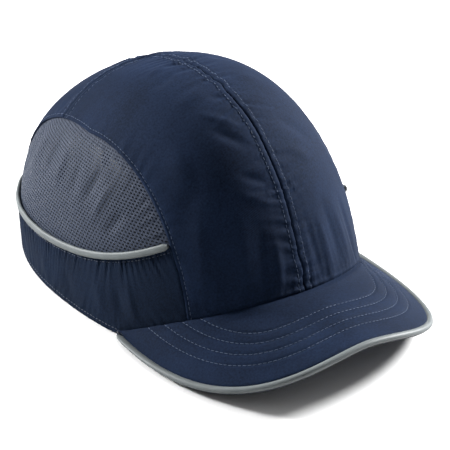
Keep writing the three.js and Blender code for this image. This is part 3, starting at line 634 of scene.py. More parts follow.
@dataclass(frozen=True)
class VisorForm:
    """The visor's form: an edge curve, a root on the crown, and straight lines between them."""

    length: float = 56.5
    half_width: float = 93.4
    droop: float = 11.6
    base_lift: float = 4.4
    corner_gap: float = 4.4
    corner_drop: float = 4.0
    side_power: float = 2.9
    front_power: float = 2.45
    bend_power: float = 1.7
    end: float = 0.975
    thin_from: float = 0.7
    end_thinning: float = 0.5
    edge_inset: float = 4.7
    top_lift: float = 2.3
    root_lowest_top: float = 2.9

    def edge(self, steps: Array) -> Array:
        """Points of the outer edge, from -1 at the wearer's right corner to 1 at the left."""
        form = PATTERN.form
        corner = form.point(np.array([PATTERN.visor_corner_azimuth, 0.0]))
        brow = form.point(np.array([0.0, form.rise_of_height(0.0, PATTERN.rim_front_height)]))
        turn = np.radians(90 * np.abs(steps))
        forward = np.abs(np.cos(turn)) ** (2 / self.front_power)
        sweep = self.half_width * np.sin(turn) ** (2 / self.side_power)
        x = sweep - (self.half_width - corner[0] - self.corner_gap) * (1 - forward) ** 2 * np.sin(turn)
        y = corner[1] + (brow[1] - self.length - corner[1]) * forward
        bend = PATTERN.rim_front_height * (1 - (x / self.half_width) ** self.bend_power)
        z = self.base_lift + bend - self.droop * forward - self.corner_drop * (1 - forward) ** 4
        return np.stack([np.sign(steps) * x, y, z], -1)

    def inset(self, steps: Array, distance: float) -> tuple[Array, Array, Array]:
        """The edge drawn level inwards, with its inward direction and its tangent."""
        step = 0.002
        tangent = self.edge(steps + step) - self.edge(steps - step)
        inward = unit(np.stack([-tangent[..., 1], tangent[..., 0], np.zeros(len(steps))], -1))
        return self.edge(steps) + inward * distance, inward, unit(tangent)

    def share(self, steps: Array) -> Array:
        """How thick the visor is near its corners, as a share of its full thickness."""
        return 1 - self.end_thinning * smooth((np.abs(steps) - self.thin_from) / (1 - self.thin_from))

    def face(self, steps: Array, outs: Array, lift: float, root_lift: float, inset: float) -> Array:
        """A grid of points from the root to the edge.

        Args:
            steps: Places from corner to corner.
            outs: Shares of the way from the root (0) to the edge (1).
            lift: Height over the middle of the board, in millimetres.
            root_lift: How far outside the crown the root stands.
            inset: How far inside the outer edge the grid ends.

        Returns:
            The points, one row for each value of outs.
        """
        share = self.share(steps)
        azimuth = steps * PATTERN.visor_corner_azimuth
        top = np.maximum(PATTERN.rim_height(azimuth), self.root_lowest_top)
        height = top + (lift - self.top_lift) * share
        places = np.stack([azimuth, PATTERN.form.rise_of_height(azimuth, height)], -1)
        root = PATTERN.form.lifted(places, root_lift)
        root[:, 2] = height
        edge = self.inset(steps, inset)[0]
        edge[:, 2] += lift * share
        return root[None] + (edge - root)[None] * outs[:, None, None]


VISOR = VisorForm()
PLACER = Placer()


def dress_object(obj: Piece, material: Material, slot: Slot, body: str, *nodes: str) -> None:
    """Gives a finished piece its finish, its body and the solids that it stands for."""
    obj.data.materials.clear()
    obj.data.materials.append(material)
    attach(obj, body)
    if nodes:
        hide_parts(*nodes)
    LOG.info("%s: %d faces, rides on %s", obj.name, len(obj.data.polygons), body)


def signed_volume(points: Array, faces: Array | list) -> float:
    """Gives a closed mesh's volume, which is negative where its faces turn inwards."""
    fans = [(f[0], f[k], f[k + 1]) for f in faces if len(f) > 4 for k in range(1, len(f) - 1)]
    quads = np.array([tuple(f) for f in faces if len(f) == 4], int).reshape(-1, 4)
    fans = np.concatenate([quads[:, [0, 1, 2]], quads[:, [0, 2, 3]], np.array(fans, int).reshape(-1, 3)])
    a, b, c = points[fans[:, 0]], points[fans[:, 1]], points[fans[:, 2]]
    return float((a * np.cross(b, c)).sum())


def add_object(name: str, data: bpy.types.ID) -> Piece:
    """Makes an object and adds it to the scene."""
    obj = bpy.data.objects.new(name, data)
    bpy.context.scene.collection.objects.link(obj)
    return obj


def mesh_object(name: str, points: Array, faces: Array | list, uv: Array | None = None) -> Piece:
    """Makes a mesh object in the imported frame.

    Args:
        name: The piece's name.
        points: Points in the pattern's millimetres.
        faces: Lists of point numbers.
        uv: A position on the cloth for each point, in tenths of a metre.

    Returns:
        The object, with faces turned outwards.
    """
    mesh = bpy.data.meshes.new(name)
    placed = PLACER.to_frame(np.asarray(points, float).reshape(-1, 3))
    if signed_volume(placed, faces) < 0:
        faces = [list(f)[::-1] for f in faces]
    faces = faces.tolist() if isinstance(faces, Array) else faces
    mesh.from_pydata(placed.tolist(), [], faces)
    mesh.polygons.foreach_set("use_smooth", np.ones(len(faces), bool))
    mesh.set_sharp_from_angle(angle=SHARP_EDGE)
    if uv is not None:
        layer = mesh.uv_layers.new(name="cloth")
        corner = np.empty(len(mesh.loops), int)
        mesh.loops.foreach_get("vertex_index", corner)
        layer.data.foreach_set("uv", uv.reshape(-1, 2)[corner].astype(np.float32).ravel())
    mesh.update()
    return add_object(name, mesh)


def grid_faces(rows: int, columns: int, closed: bool = False) -> Array:
    """The faces of a closed sheet between two grids of the same size."""
    half = rows * columns
    spans = columns if closed else columns - 1
    j, i = np.meshgrid(np.arange(rows - 1), np.arange(spans), indexing="ij")
    j, i = j.ravel(), i.ravel()
    k = (i + 1) % columns
    a, b, c, d = j * columns + i, j * columns + k, (j + 1) * columns + k, (j + 1) * columns + i
    faces = [np.stack([a, b, c, d], -1), half + np.stack([a, d, c, b], -1)]
    i = np.arange(spans)
    k = (i + 1) % columns
    top = (rows - 1) * columns
    faces.append(np.stack([i, half + i, half + k, k], -1))
    faces.append(np.stack([top + i, top + k, half + top + k, half + top + i], -1))
    if not closed:
        j = np.arange(rows - 1) * columns
        n, last = j + columns, columns - 1
        faces.append(np.stack([j, n, half + n, half + j], -1))
        faces.append(np.stack([j + last, half + j + last, half + n + last, n + last], -1))
    return np.concatenate(faces)


def cloth_uv(grid: Array) -> Array:
    """Positions on flat cloth for a grid of points, in tenths of a metre, from distances along it."""
    across, upward = np.zeros(grid.shape[:2]), np.zeros(grid.shape[:2])
    across[:, 1:] = np.cumsum(np.linalg.norm(np.diff(grid, axis=1), axis=-1), 1)
    upward[1:] = np.cumsum(np.linalg.norm(np.diff(grid, axis=0), axis=-1), 0)
    return np.stack([across - across.mean(1, keepdims=True), upward], -1) / 100


def sheet_object(name: str, outer: Array, inner: Array, closed: bool = False) -> Piece:
    """Makes a closed sheet from its outer and inner grids of points."""
    uv = cloth_uv(outer)
    points = np.concatenate([outer.reshape(-1, 3), inner.reshape(-1, 3)])
    return mesh_object(name, points, grid_faces(*outer.shape[:2], closed), np.concatenate([uv, uv]))


def declare_sheet(obj: Piece, grid: Array) -> None:
    """Logs the size that a cloth piece's pattern is cut to.

    Args:
        obj: The piece.
        grid: Its smooth grid of points in millimetres, before folds.
    """
    wide = np.linalg.norm(np.diff(grid, axis=1), axis=-1).sum(1)
    tall = np.linalg.norm(np.diff(grid, axis=0), axis=-1).sum(0)
    cross = np.cross(grid[1:, 1:] - grid[:-1, :-1], grid[1:, :-1] - grid[:-1, 1:])
    area = float(np.linalg.norm(cross, axis=-1).sum() / 2)
    width, length = float(max(wide.max(), NARROWEST_CUT)), float(max(tall.max(), NARROWEST_CUT))
    length = max(length, LEAST_SPARE * area / width)
    LOG.info("%s is cut from %.0f x %.0f mm, %.0f cm2", obj.name, width, length, area / 100)


def make_sheet(
    name: str, layers: Sequence[Array], dress: tuple, cut: Array | None = None,
) -> Piece:
    """Args:
        name: The piece's name.
        layers: Its outer and inner grids of points.
        dress: Its material, slot and body, and the solids that it stands for.
        cut: Its smooth grid of points before folds, if it is cloth.

    Returns:
        The piece.
    """
    obj = sheet_object(name, *layers)
    dress_object(obj, *dress)
    if cut is not None:
        declare_sheet(obj, cut)
    return obj


def coons(bottom: Array, top: Array, start: Array, end: Array, u: Array, w: Array) -> Array:
    """Blends a four-sided patch of places from its four edges.

    Args:
        bottom: Edge at w = 0, from u = 0 to 1.
        top: Edge at w = 1.
        start: Edge at u = 0, from w = 0 to 1.
        end: Edge at u = 1.
        u: Values across.
        w: Values up.

    Returns:
        A grid of places, one row for each w.
    """

    def at(edge: Array, t: Array) -> Array:
        index = t * (len(edge) - 1)
        return np.stack([np.interp(index, np.arange(len(edge)), edge[:, k]) for k in (0, 1)], -1)

    across, up = u[None, :, None], w[:, None, None]
    edges = (1 - up) * at(bottom, u)[None] + up * at(top, u)[None]
    edges = edges + (1 - across) * at(start, w)[:, None] + across * at(end, w)[:, None]
    corners = (1 - up) * ((1 - across) * bottom[0] + across * bottom[-1])
    corners = corners + up * ((1 - across) * top[0] + across * top[-1])
    return edges - corners


def tube_object(name: str, rings: Array) -> Piece:
    """Makes a closed tube through rings of points, with flat ends."""
    count, sides = rings.shape[:2]
    j, i = np.meshgrid(np.arange(count - 1), np.arange(sides), indexing="ij")
    a, b = (j * sides + i).ravel(), (j * sides + (i + 1) % sides).ravel()
    faces = np.stack([a, b, b + sides, a + sides], -1).tolist()
    faces.append(list(range(sides))[::-1])
    faces.append([(count - 1) * sides + k for k in range(sides)])
    travel = along(rings.mean(1)) / 100
    turn = np.linspace(0, 1, sides, endpoint=False)
    uv = np.stack(np.broadcast_arrays(travel[:, None], turn[None] * 0.12), -1)
    return mesh_object(name, rings, faces, uv)


def bead_rings(
    centre: Array, across: Array, normal: Array,
    half_width: Array, half_height: Array, power: float = 2.0,
) -> Array:
    """Rings of a rounded bead along a line.

    Args:
        centre: The line.
        across: Sideways directions.
        normal: Upward directions.
        half_width: Half of the bead's width.
        half_height: Half of its height.
        power: 2 for an oval, and more for a flatter bead.

    Returns:
        One ring of points for each point of the line.
    """
    turn = np.linspace(0, 2 * math.pi, BEAD_SIDES, endpoint=False)
    side = signed_power(np.cos(turn), 2 / power)[None, :, None]
    up = signed_power(np.sin(turn), 2 / power)[None, :, None]
    wide = np.broadcast_to(np.asarray(half_width, float), len(centre))[:, None, None]
    high = np.broadcast_to(np.asarray(half_height, float), len(centre))[:, None, None]
    return centre[:, None] + across[:, None] * side * wide + normal[:, None] * up * high


class TreeKit:
    """Adds nodes to a tree with short calls."""

    def __init__(self, tree: bpy.types.NodeTree) -> None:
        """Keeps the tree."""
        self.tree = tree

    def add(self, kind: str, inputs: dict | None = None, **settings: object) -> bpy.types.Node:
        """Adds a node, sets its properties and fills its inputs with values or other nodes' outputs."""
        node = self.tree.nodes.new(kind)
        for key, value in settings.items():
            setattr(node, key, value)
        for key, value in (inputs or {}).items():
            self.feed(node.inputs[key], value)
        return node

    def feed(self, socket: Socket, value: object) -> None:
        """Sets a socket, or links it if the value is another node's output."""
        if isinstance(value, Socket):
            self.tree.links.new(value, socket)
        else:
            socket.default_value = value

    def math(self, kind: str, a: object, b: object = 0.0) -> Socket:
        """Adds a maths node."""
        return self.add("ShaderNodeMath", {0: a, 1: b}, operation=kind).outputs[0]


class NodeKit(TreeKit):
    """Adds shader nodes to a material with short calls."""

    def __init__(self, name: str) -> None:
        """Starts a material with a surface shader."""
        self.material = bpy.data.materials.new(name)
        self.material.use_nodes = True
        super().__init__(self.material.node_tree)
        self.surface = self.tree.nodes["Principled BSDF"]

    def set(self, **values: object) -> None:
        """Sets inputs of the surface shader, with spaces in names written as underscores."""
        for key, value in values.items():
            self.feed(self.surface.inputs[key.replace("_", " ")], value)

    def blend(self, a: object, share_a: float, b: object, share_b: float) -> Socket:
        """Adds up two patterns by their shares."""
        return self.math("ADD", self.math("MULTIPLY", a, share_a), self.math("MULTIPLY", b, share_b))

    def mix(self, share: object, low: tuple, high: tuple) -> Socket:
        """Mixes two colours by a share."""
        node = self.add("ShaderNodeMix", {0: share, 6: low, 7: high}, data_type="RGBA")
        return node.outputs[2]

    def cloth_position(self, stretch: tuple = (1.0, 1.0, 1.0), turn: float = 0.0) -> Socket:
        """The position on flat cloth, turned and stretched."""
        uv = self.add("ShaderNodeUVMap", uv_map="cloth").outputs[0]
        return self.add("ShaderNodeMapping", {0: uv, "Rotation": (0, 0, turn), "Scale": stretch}).outputs[0]

    def place(self) -> Socket:
        """The position on the piece in metres."""
        return self.add("ShaderNodeTexCoord").outputs["Object"]

    def noise(self, position: Socket, scale: float, detail: float = 3.0) -> Socket:
        """Adds a noise pattern."""
        return self.add("ShaderNodeTexNoise", {0: position, "Scale": scale, "Detail": detail}).outputs[0]

    def bands(self, position: Socket, pitch: float, waver: float = 0.0) -> Socket:
        """Adds stripes along X with a pitch in the position's own units."""
        inputs = {0: position, "Scale": 2 * math.pi / 20 / pitch, "Distortion": waver, "Detail": 1.0}
        return self.add("ShaderNodeTexWave", inputs).outputs[1]

    def bump(self, height: Socket, depth: float, strength: float = 1.0) -> None:
        """Raises the surface by a pattern, with its depth in metres."""
        node = self.add("ShaderNodeBump", {"Height": height, "Distance": depth, "Strength": strength})
        self.set(Normal=node.outputs[0])


def colour(code: str) -> tuple[float, float, float, float]:
    """Turns a #rrggbb code into a linear colour."""
    parts = [int(code[i : i + 2], 16) / 255 for i in (1, 3, 5)]
    linear = [c / 12.92 if c <= 0.04045 else ((c + 0.055) / 1.055) ** 2.4 for c in parts]
    return (*linear, 1.0)


@dataclass(frozen=True)
class TwillFinish:
    """Dyed polyester-cotton twill: fine diagonal ribs with a soft sheen."""

    name: str
    deep: str
    light: str
    roughness: float = 0.8
    sheen: float = 0.015

    def make(self) -> Material:
        """Makes the material."""
        kit = NodeKit(self.name)
        # Ribs 0.9 mm apart: real twill is nearer 0.4 mm, which is too fine to draw.
        ribs = kit.bands(kit.cloth_position(turn=math.radians(45)), 0.009)
        yarn = kit.noise(kit.cloth_position((1, 3, 1), math.radians(45)), 210.0, 2.0)
        cloud = kit.noise(kit.place(), 34.0, 4.0)
        fleck = kit.noise(kit.place(), 900.0, 2.0)
        tone = kit.math("SUBTRACT", kit.blend(cloud, 0.8, fleck, 1.3), 0.55)
        kit.set(Base_Color=kit.mix(tone, colour(self.deep), colour(self.light)))
        kit.bump(kit.blend(ribs, 0.45, yarn, 0.55), 0.00012, 0.55)
        kit.set(Roughness=self.roughness, Sheen_Weight=self.sheen, Sheen_Roughness=0.45)
        kit.set(Sheen_Tint=colour("#5670b0"))
        kit.set(Specular_IOR_Level=0.05)
        return kit.material


@dataclass(frozen=True)
class KnitFinish:
    """Warp-knit mesh: a smooth filament yarn with fine wales."""

    name: str
    deep: str
    light: str

    def make(self) -> Material:
        """Makes the material."""
        kit = NodeKit(self.name)
        wales = kit.bands(kit.cloth_position(), 0.007)
        courses = kit.bands(kit.cloth_position(turn=math.radians(90)), 0.006)
        fleck = kit.noise(kit.place(), 700.0, 2.0)
        cloud = kit.noise(kit.place(), 40.0, 3.0)
        kit.set(Base_Color=kit.mix(kit.blend(fleck, 0.5, cloud, 0.5), colour(self.deep), colour(self.light)))
        kit.bump(kit.math("ADD", wales, kit.math("MULTIPLY", courses, 0.6)), 0.0001, 0.6)
        kit.set(Roughness=0.65, Sheen_Weight=0.02, Sheen_Roughness=0.4, Specular_IOR_Level=0.12)
        return kit.material


@dataclass(frozen=True)
class ReflectiveFinish:
    """Glass-bead reflective tape: silver grey with a fine grain and light soiling."""

    name: str
    deep: str
    light: str

    def make(self) -> Material:
        """Makes the material."""
        kit = NodeKit(self.name)
        grain = kit.noise(kit.place(), 2600.0, 1.0)
        soil = kit.noise(kit.place(), 60.0, 4.0)
        tone = kit.blend(grain, 0.35, soil, 0.65)
        kit.set(Base_Color=kit.mix(tone, colour(self.deep), colour(self.light)))
        # Rows of tiny crimps every 1.2 mm, where the tape is folded round its cord.
        crimps = kit.bands(kit.cloth_position(), 0.012, 0.6)
        kit.bump(kit.math("ADD", grain, kit.math("MULTIPLY", crimps, 0.5)), 0.00005, 0.5)
        kit.set(Roughness=0.55, Metallic=0.0, Specular_IOR_Level=0.35)
        return kit.material


@dataclass(frozen=True)
class PlainFinish:
    """A plain finish with a fine grain: thread, moulded plastic, foam, tape or pile."""

    name: str
    deep: str
    light: str
    roughness: float
    grain: float
    depth: float
    specular: float = 0.4
    sheen: float = 0.0

    def make(self) -> Material:
        """Makes the material."""
        kit = NodeKit(self.name)
        grain = kit.noise(kit.place(), self.grain, 3.0)
        cloud = kit.noise(kit.place(), 45.0, 3.0)
        kit.set(Base_Color=kit.mix(kit.blend(grain, 0.5, cloud, 0.5), colour(self.deep), colour(self.light)))
        rough = kit.math("ADD", kit.math("MULTIPLY", cloud, 0.16), self.roughness - 0.08)
        kit.bump(grain, self.depth, 0.6)
        kit.set(Roughness=rough, Specular_IOR_Level=self.specular)
        if self.sheen:
            kit.set(Sheen_Weight=self.sheen, Sheen_Roughness=0.5)
        return kit.material


class Finishes:
    """Every material of the cap, made once."""

    def __init__(self) -> None:
        """Makes the materials."""

        def plain(*row: str | float) -> Material:
            return PlainFinish(*row).make()

        self.twill = TwillFinish("navy twill", "#08101d", "#17243b").make()
        # A darker copy of the navy twill for the side bands: painted shade, as the bands sit low on the cap
        # in shade.
        self.shaded_band_twill = TwillFinish("navy band twill with painted shade", "#070e19", "#142033").make()
        self.binding = TwillFinish("navy binding twill", "#10141f", "#191f2e", 0.8, 0.02).make()
        self.lining = TwillFinish("black sweatband jersey", "#12141b", "#1d2029", 0.9, 0.1).make()
        self.webbing = TwillFinish("navy strap webbing", "#141b2d", "#222b42", 0.7, 0.04).make()
        self.mesh = KnitFinish("grey-blue side mesh", "#272e3d", "#3c4351").make()
        self.piping = ReflectiveFinish("silver reflective tape", "#484d4f", "#5f6566").make()
        self.thread = plain("blue-grey polyester thread", "#38445a", "#56647c", 0.6, 2400.0, 0.00004, 0.25)
        self.dark_thread = plain("navy polyester thread", "#1c2434", "#333d50", 0.55, 2400.0, 0.00004)
        self.board = plain("grey visor board", "#26272b", "#34363b", 0.55, 500.0, 0.00006)
        self.tape = plain("navy bias tape", "#171d30", "#232b42", 0.85, 1500.0, 0.00006, 0.3, 0.2)
        self.shell = plain("black moulded shell plastic", "#15161a", "#1d1f24", 0.36, 1300.0, 0.00003, 0.5)
        self.foam = plain("charcoal closed-cell foam", "#212328", "#303238", 0.93, 850.0, 0.00014, 0.25)
        self.hook = plain("black hook tape", "#101116", "#1b1d24", 0.7, 1900.0, 0.0001)
        self.loop = plain("black loop pile", "#111217", "#1f222b", 0.95, 1100.0, 0.0003, 0.15, 0.12)
        self.label = plain("slate woven label", "#3f444f", "#525864", 0.8, 1800.0, 0.00005, 0.3, 0.2)


def bake(obj: Piece) -> Piece:
    """Turns a piece's modifiers into a plain mesh."""
    bpy.context.view_layer.update()
    evaluated = obj.evaluated_get(bpy.context.evaluated_depsgraph_get())
    mesh = bpy.data.meshes.new_from_object(evaluated)
    obj.modifiers.clear()
    obj.data = mesh
    mesh.name = obj.name
    return obj


class Scatter(TreeKit):
    """Sets a small shape on each of many points of cloth, each leaning a little its own way."""

    def __init__(self, title: str, sizes: Sequence[str], lean: tuple[float, float, float]) -> None:
        """Builds the geometry tree.

        Args:
            title: The tree's name.
            sizes: Names of the lengths that it takes.
            lean: How far a shape may lean about each axis, in radians.
        """
        super().__init__(bpy.data.node_groups.new(title, "GeometryNodeTree"))
        kinds = {"Base": "Geometry", **dict.fromkeys(sizes, "Float"), "Seed": "Int", "Finish": "Material"}
        new = self.tree.interface.new_socket
        self.ids = {
            name: new(name, in_out="INPUT", socket_type=f"NodeSocket{kind}").identifier
            for name, kind in kinds.items()
        }
        new("Shapes", in_out="OUTPUT", socket_type="NodeSocketGeometry")
        self.given = self.add("NodeGroupInput").outputs
        limits = {"Min": tuple(-turn for turn in lean), "Max": lean, "Seed": self.given["Seed"]}
        lean_by = self.add("FunctionNodeRandomValue", limits, data_type="FLOAT_VECTOR").outputs[0]
        facing = self.add("GeometryNodeInputNamedAttribute", {"Name": NORMAL}, data_type="FLOAT_VECTOR")
        turns = {"Rotation": self.stance(facing.outputs[0]), "Rotate By": lean_by}
        turned = self.add("FunctionNodeRotateRotation", turns, rotation_space="LOCAL").outputs[0]
        laid = {"Points": self.points(), "Instance": self.shape(), "Rotation": turned, "Scale": self.scale()}
        laid = self.add("GeometryNodeInstanceOnPoints", laid).outputs[0]
        real = self.add("GeometryNodeRealizeInstances", {0: laid}).outputs[0]
        painted = {"Geometry": self.soften(real), "Material": self.given["Finish"]}
        painted = self.add("GeometryNodeSetMaterial", painted).outputs[0]
        self.add("NodeGroupOutput", {0: painted})

    def align(self, vector: Socket, rotation: Socket | None = None, **axes: str) -> Socket:
        """Turns an axis of a shape towards a vector."""
        inputs = {"Vector": vector, **({"Rotation": rotation} if rotation else {})}
        return self.add("FunctionNodeAlignRotationToVector", inputs, **axes).outputs[0]

    def triple(self, *values: Socket) -> Socket:
        """Joins three values into a vector."""
        return self.add("ShaderNodeCombineXYZ", dict(enumerate(values))).outputs[0]

    def soften(self, shapes: Socket) -> Socket:
        """Shades the shapes: flat, unless a kind of shape says otherwise."""
        return shapes

    def cover(
        self, name: str, points: Array, edges: list, normals: Array,
        finish: Material, **sizes: float,
    ) -> Piece:
        """Makes a piece of small shapes.

        Args:
            name: The piece's name.
            points: Where the shapes stand, in millimetres, or the lines that they follow.
            edges: Pairs of point numbers that make lines.
            normals: The cloth's normals there.
            finish: The shapes' material.
            **sizes: The tree's lengths in millimetres, and the seed.

        Returns:
            The shapes as a plain mesh.
        """
        mesh = bpy.data.meshes.new(name)
        mesh.from_pydata(PLACER.to_frame(points.reshape(-1, 3)).tolist(), edges, [])
        facing = mesh.attributes.new(NORMAL, "FLOAT_VECTOR", "POINT")
        facing.data.foreach_set("vector", normals.astype(np.float32).ravel())
        obj = add_object(name, mesh)
        modifier = obj.modifiers.new("shapes", "NODES")
        modifier.node_group = self.tree
        modifier[self.ids["Seed"]], modifier[self.ids["Finish"]] = sizes.pop("Seed"), finish
        for key, value in sizes.items():
            modifier[self.ids[key]] = value * MM
        return bake(obj)


@dataclass(frozen=True)
class Stitch:
    """Sizes of a run of stitches in millimetres, and the seed that picks how they lean."""

    pitch: float
    length: float
    radius: float
    seed: int


class StitchRun(Scatter):
    """Lays stitches along lines, with one slim rounded thread for each stitch."""

    def __init__(self) -> None:
        """Builds the geometry tree."""
        super().__init__("stitch run", ("Pitch", "Length", "Radius"), (0.1, 0.06, 0.1))

    def points(self) -> Socket:
        """Points along the lines, one pitch apart."""
        curve = self.add("GeometryNodeMeshToCurve", {0: self.given["Base"]}).outputs[0]
        inputs = {"Curve": curve, "Length": self.given["Pitch"]}
        return self.add("GeometryNodeResampleCurve", inputs, mode="LENGTH").outputs[0]

    def shape(self) -> Socket:
        """A ball that is drawn out into a stitch."""
        ball = {"Segments": 6, "Rings": 5, "Radius": 1.0}
        return self.add("GeometryNodeMeshUVSphere", ball).outputs["Mesh"]

    def scale(self) -> Socket:
        """Half of a stitch's length and thickness."""
        half = self.math("MULTIPLY", self.given["Length"], 0.5)
        return self.triple(half, self.given["Radius"], self.given["Radius"])

    def stance(self, facing: Socket) -> Socket:
        """Lies along the line, flat on the cloth."""
        tangent = self.add("GeometryNodeInputTangent").outputs[0]
        return self.align(facing, self.align(tangent, axis="X"), axis="Z", pivot_axis="X")

    def soften(self, shapes: Socket) -> Socket:
        """Shades the thread smoothly."""
        return self.add("GeometryNodeSetShadeSmooth", {0: shapes}).outputs[0]

    def lay(
        self, name: str, lines: Sequence[tuple[Array, Array]], thread: Material, stitch: Stitch
    ) -> Piece:
        """Makes one piece of thread work.

        Args:
            name: The piece's name.
            lines: Points and cloth normals of each line of stitches, in millimetres.
            thread: The thread's material.
            stitch: The stitches' sizes.

        Returns:
            The stitches as a plain mesh.
        """
        edges, start = [], 0
        for points, _ in lines:
            edges += [(start + i, start + i + 1) for i in range(len(points) - 1)]
            start += len(points)
        points, normals = (np.concatenate(parts) for parts in zip(*lines))
        sizes = {"Pitch": stitch.pitch, "Length": stitch.length, "Radius": stitch.radius, "Seed": stitch.seed}
        return self.cover(name, points, edges, normals, thread, **sizes)


class HookField(Scatter):
    """Stands small stiff hooks on the points of a patch."""

    def __init__(self) -> None:
        """Builds the geometry tree."""
        super().__init__("hook field", ("Height", "Radius"), (0.35, 0.35, 0.5))

    def points(self) -> Socket:
        """The patch's own points."""
        return self.given["Base"]

    def shape(self) -> Socket:
        """A slim cone."""
        cone = {"Vertices": 5, "Radius Top": 0.55, "Radius Bottom": 1.0, "Depth": 1.0}
        return self.add("GeometryNodeMeshCone", cone).outputs["Mesh"]

    def scale(self) -> Socket:
        """A hook's radius and height."""
        return self.triple(self.given["Radius"], self.given["Radius"], self.given["Height"])

    def stance(self, facing: Socket) -> Socket:
        """Stands up from the cloth."""
        return self.align(facing, axis="Z")

    def stand(
        self, name: str, roots: Array, normals: Array,
        finish: Material, height: float, seed: int,
    ) -> Piece:
        """Makes one field of hooks.

        Args:
            name: The piece's name.
            roots: Where the hooks stand, in millimetres.
            normals: Which way they stand.
            finish: Their material.
            height: Their height.
            seed: Picks how they lean.

        Returns:
            The hooks as a plain mesh.
        """
        return self.cover(name, roots, [], normals, finish, Height=height, Radius=HOOK_RADIUS, Seed=seed)


def level_edge(places: Array, *layers: Array) -> None:
    """Levels the bottom edges of a sheet's layers with the smooth crown."""
    for layer in layers:
        layer[0, :, 2] = PATTERN.form.point(places[0])[:, 2]


def crest_places() -> Array:
    """Places of the two patches that hold the insert under the top of the crown."""
    return np.stack(np.meshgrid(np.linspace(-26, 26, 46), np.linspace(64, 78, 26)), -1)


def seam_axes(places: Array) -> tuple[Array, Array, Array]:
    """Directions across a seam and out of the cloth, and the distance travelled along it."""
    points, normal = PATTERN.form.point(places), PATTERN.form.normal(places)
    return unit(np.cross(normal, unit(np.gradient(points, axis=0)))), normal, along(points)


@dataclass
class Workshop:
    """What every sub-assembly is made with."""

    finishes: Finishes
    stitches: StitchRun
    hooks: HookField
    crown: Cloth
    band: Cloth
    mesh: Cloth

    def line(self, cloth: Cloth, places: Array, rise: float = 0.12) -> tuple[Array, Array]:
        """A line of stitches that lies on a cloth layer."""
        lift = cloth.lift(places) + rise
        return wander(PATTERN.form.lifted(places, lift)), PATTERN.form.normal(places)

    def sew(
        self, name: str, lines: list, thread: Material, stitch: Stitch,
        slot: Slot = Slot.NAVY, body: str = "cap",
    ) -> None:
        """Sews lines of stitches and dresses them as one piece."""
        dress_object(self.stitches.lay(name, lines, thread, stitch), thread, slot, body)


@dataclass
class Crown:
    """The navy crown: two front panels, two rear panels, and the stitching on their seams."""

    shop: Workshop
    cloth_thickness: float = 0.9
    seam_gap: float = 0.12
    centre_gap: float = 0.4
    stitch_offset: float = 4.4
    hem_stitch_offset: float = 2.4
    centre_stitched_to: float = 87.0
    back_stitched_to: float = 86.0
    rear_stitched_to: float = 84.0
    front_columns: int = 110
    front_rows: int = 210
    rear_columns: int = 90
    rear_rows: int = 110

    def panel(self, name: str, places: Array, node: str, level_hem: bool) -> None:
        """Makes one panel from its grid of places.

        Args:
            name: The piece's name.
            places: Its grid of places on the crown.
            node: The solid that it stands for.
            level_hem: Whether its bottom edge is level.
        """
        form = PATTERN.form
        lift = self.shop.crown.lift(places)
        outer = wander(form.lifted(places, lift))
        inner = wander(form.lifted(places, lift - self.cloth_thickness))
        if level_hem:
            level_edge(places, outer, inner)
        dress = (self.shop.finishes.twill, Slot.NAVY, "cap", node)
        make_sheet(name, (outer, inner), dress, form.point(places))

    def inset(self, count: int, span: float, first_gap: float = 0.0) -> Array:
        """Values across a panel that stop half a seam gap short of its edges."""
        first, last = (first_gap or self.seam_gap) / 2 / span, self.seam_gap / 2 / span
        return first + (1 - first - last) * clustered(count)

    def front_places(self) -> Array:
        """The grid of a front panel."""
        p = PATTERN
        end = np.concatenate([SEAMS.side_seam, SEAMS.front_arch[1:], SEAMS.rear_seam[1:]])
        top = np.stack([np.linspace(0, p.rear_seam_azimuth, 40), np.full(40, p.seam_top_rise)], -1)
        u, w = self.inset(self.front_columns, 100, self.centre_gap), self.inset(self.front_rows, 240)
        w[0] = 0.0
        return coons(p.spread(SEAMS.hem, 60), top, p.spread(SEAMS.centre_seam, 200), p.spread(end, 300), u, w)

    def rear_places(self) -> Array:
        """The grid of a rear panel."""
        p = PATTERN
        bottom = np.concatenate([SEAMS.rear_arch, SEAMS.piping_tail[1:]])
        end = np.concatenate([SEAMS.opening_upper, SEAMS.back_seam[1:]])
        top = np.stack([np.linspace(p.rear_seam_azimuth, 180, 40), np.full(40, p.seam_top_rise)], -1)
        u, w = self.inset(self.rear_columns, 90), self.inset(self.rear_rows, 90)
        return coons(p.spread(bottom, 200), top, p.spread(SEAMS.rear_seam, 120), p.spread(end, 200), u, w)

    def build(self) -> None:
        """Makes the panels and their stitching."""
        front, rear = self.front_places(), self.rear_places()
        for side in Side:
            self.panel(f"crown_front_cloth_{side.word}", side.turned(front), f"front_panel_{side.word}", True)
            self.panel(f"crown_rear_cloth_{side.word}", side.turned(rear), f"rear_panel_{side.word}", False)
        self.stitch()

    def stitch(self) -> None:
        """Sews the twin rows beside each seam and the single row along the mesh edge."""
        p, shop = PATTERN, self.shop
        lines = []
        offsets = (-self.stitch_offset, self.stitch_offset)
        crest, back = SEAMS.centre_seam[2:], SEAMS.back_seam
        for seam, top in ((crest, self.centre_stitched_to), (back, self.back_stitched_to)):
            row = p.spread(seam[seam[:, 1] < top], 150)
            lines += [shop.line(shop.crown, p.form.beside(row, offset)) for offset in offsets]
        rear = SEAMS.rear_seam[SEAMS.rear_seam[:, 1] < self.rear_stitched_to][3:]
        arch = np.concatenate([SEAMS.side_seam[2:], SEAMS.front_arch[1:], SEAMS.rear_arch[1:]])
        for side in Side:
            row = side.turned(p.spread(rear, 90))
            lines += [shop.line(shop.crown, p.form.beside(row, offset)) for offset in offsets]
            hem = p.form.beside(side.turned(p.spread(arch, 260)), side.value * self.hem_stitch_offset)
            lines.append(shop.line(shop.crown, hem))
        stitch = Stitch(pitch=2.9, length=2.3, radius=0.15, seed=5)
        shop.sew("crown_stitching", lines, shop.finishes.thread, stitch)


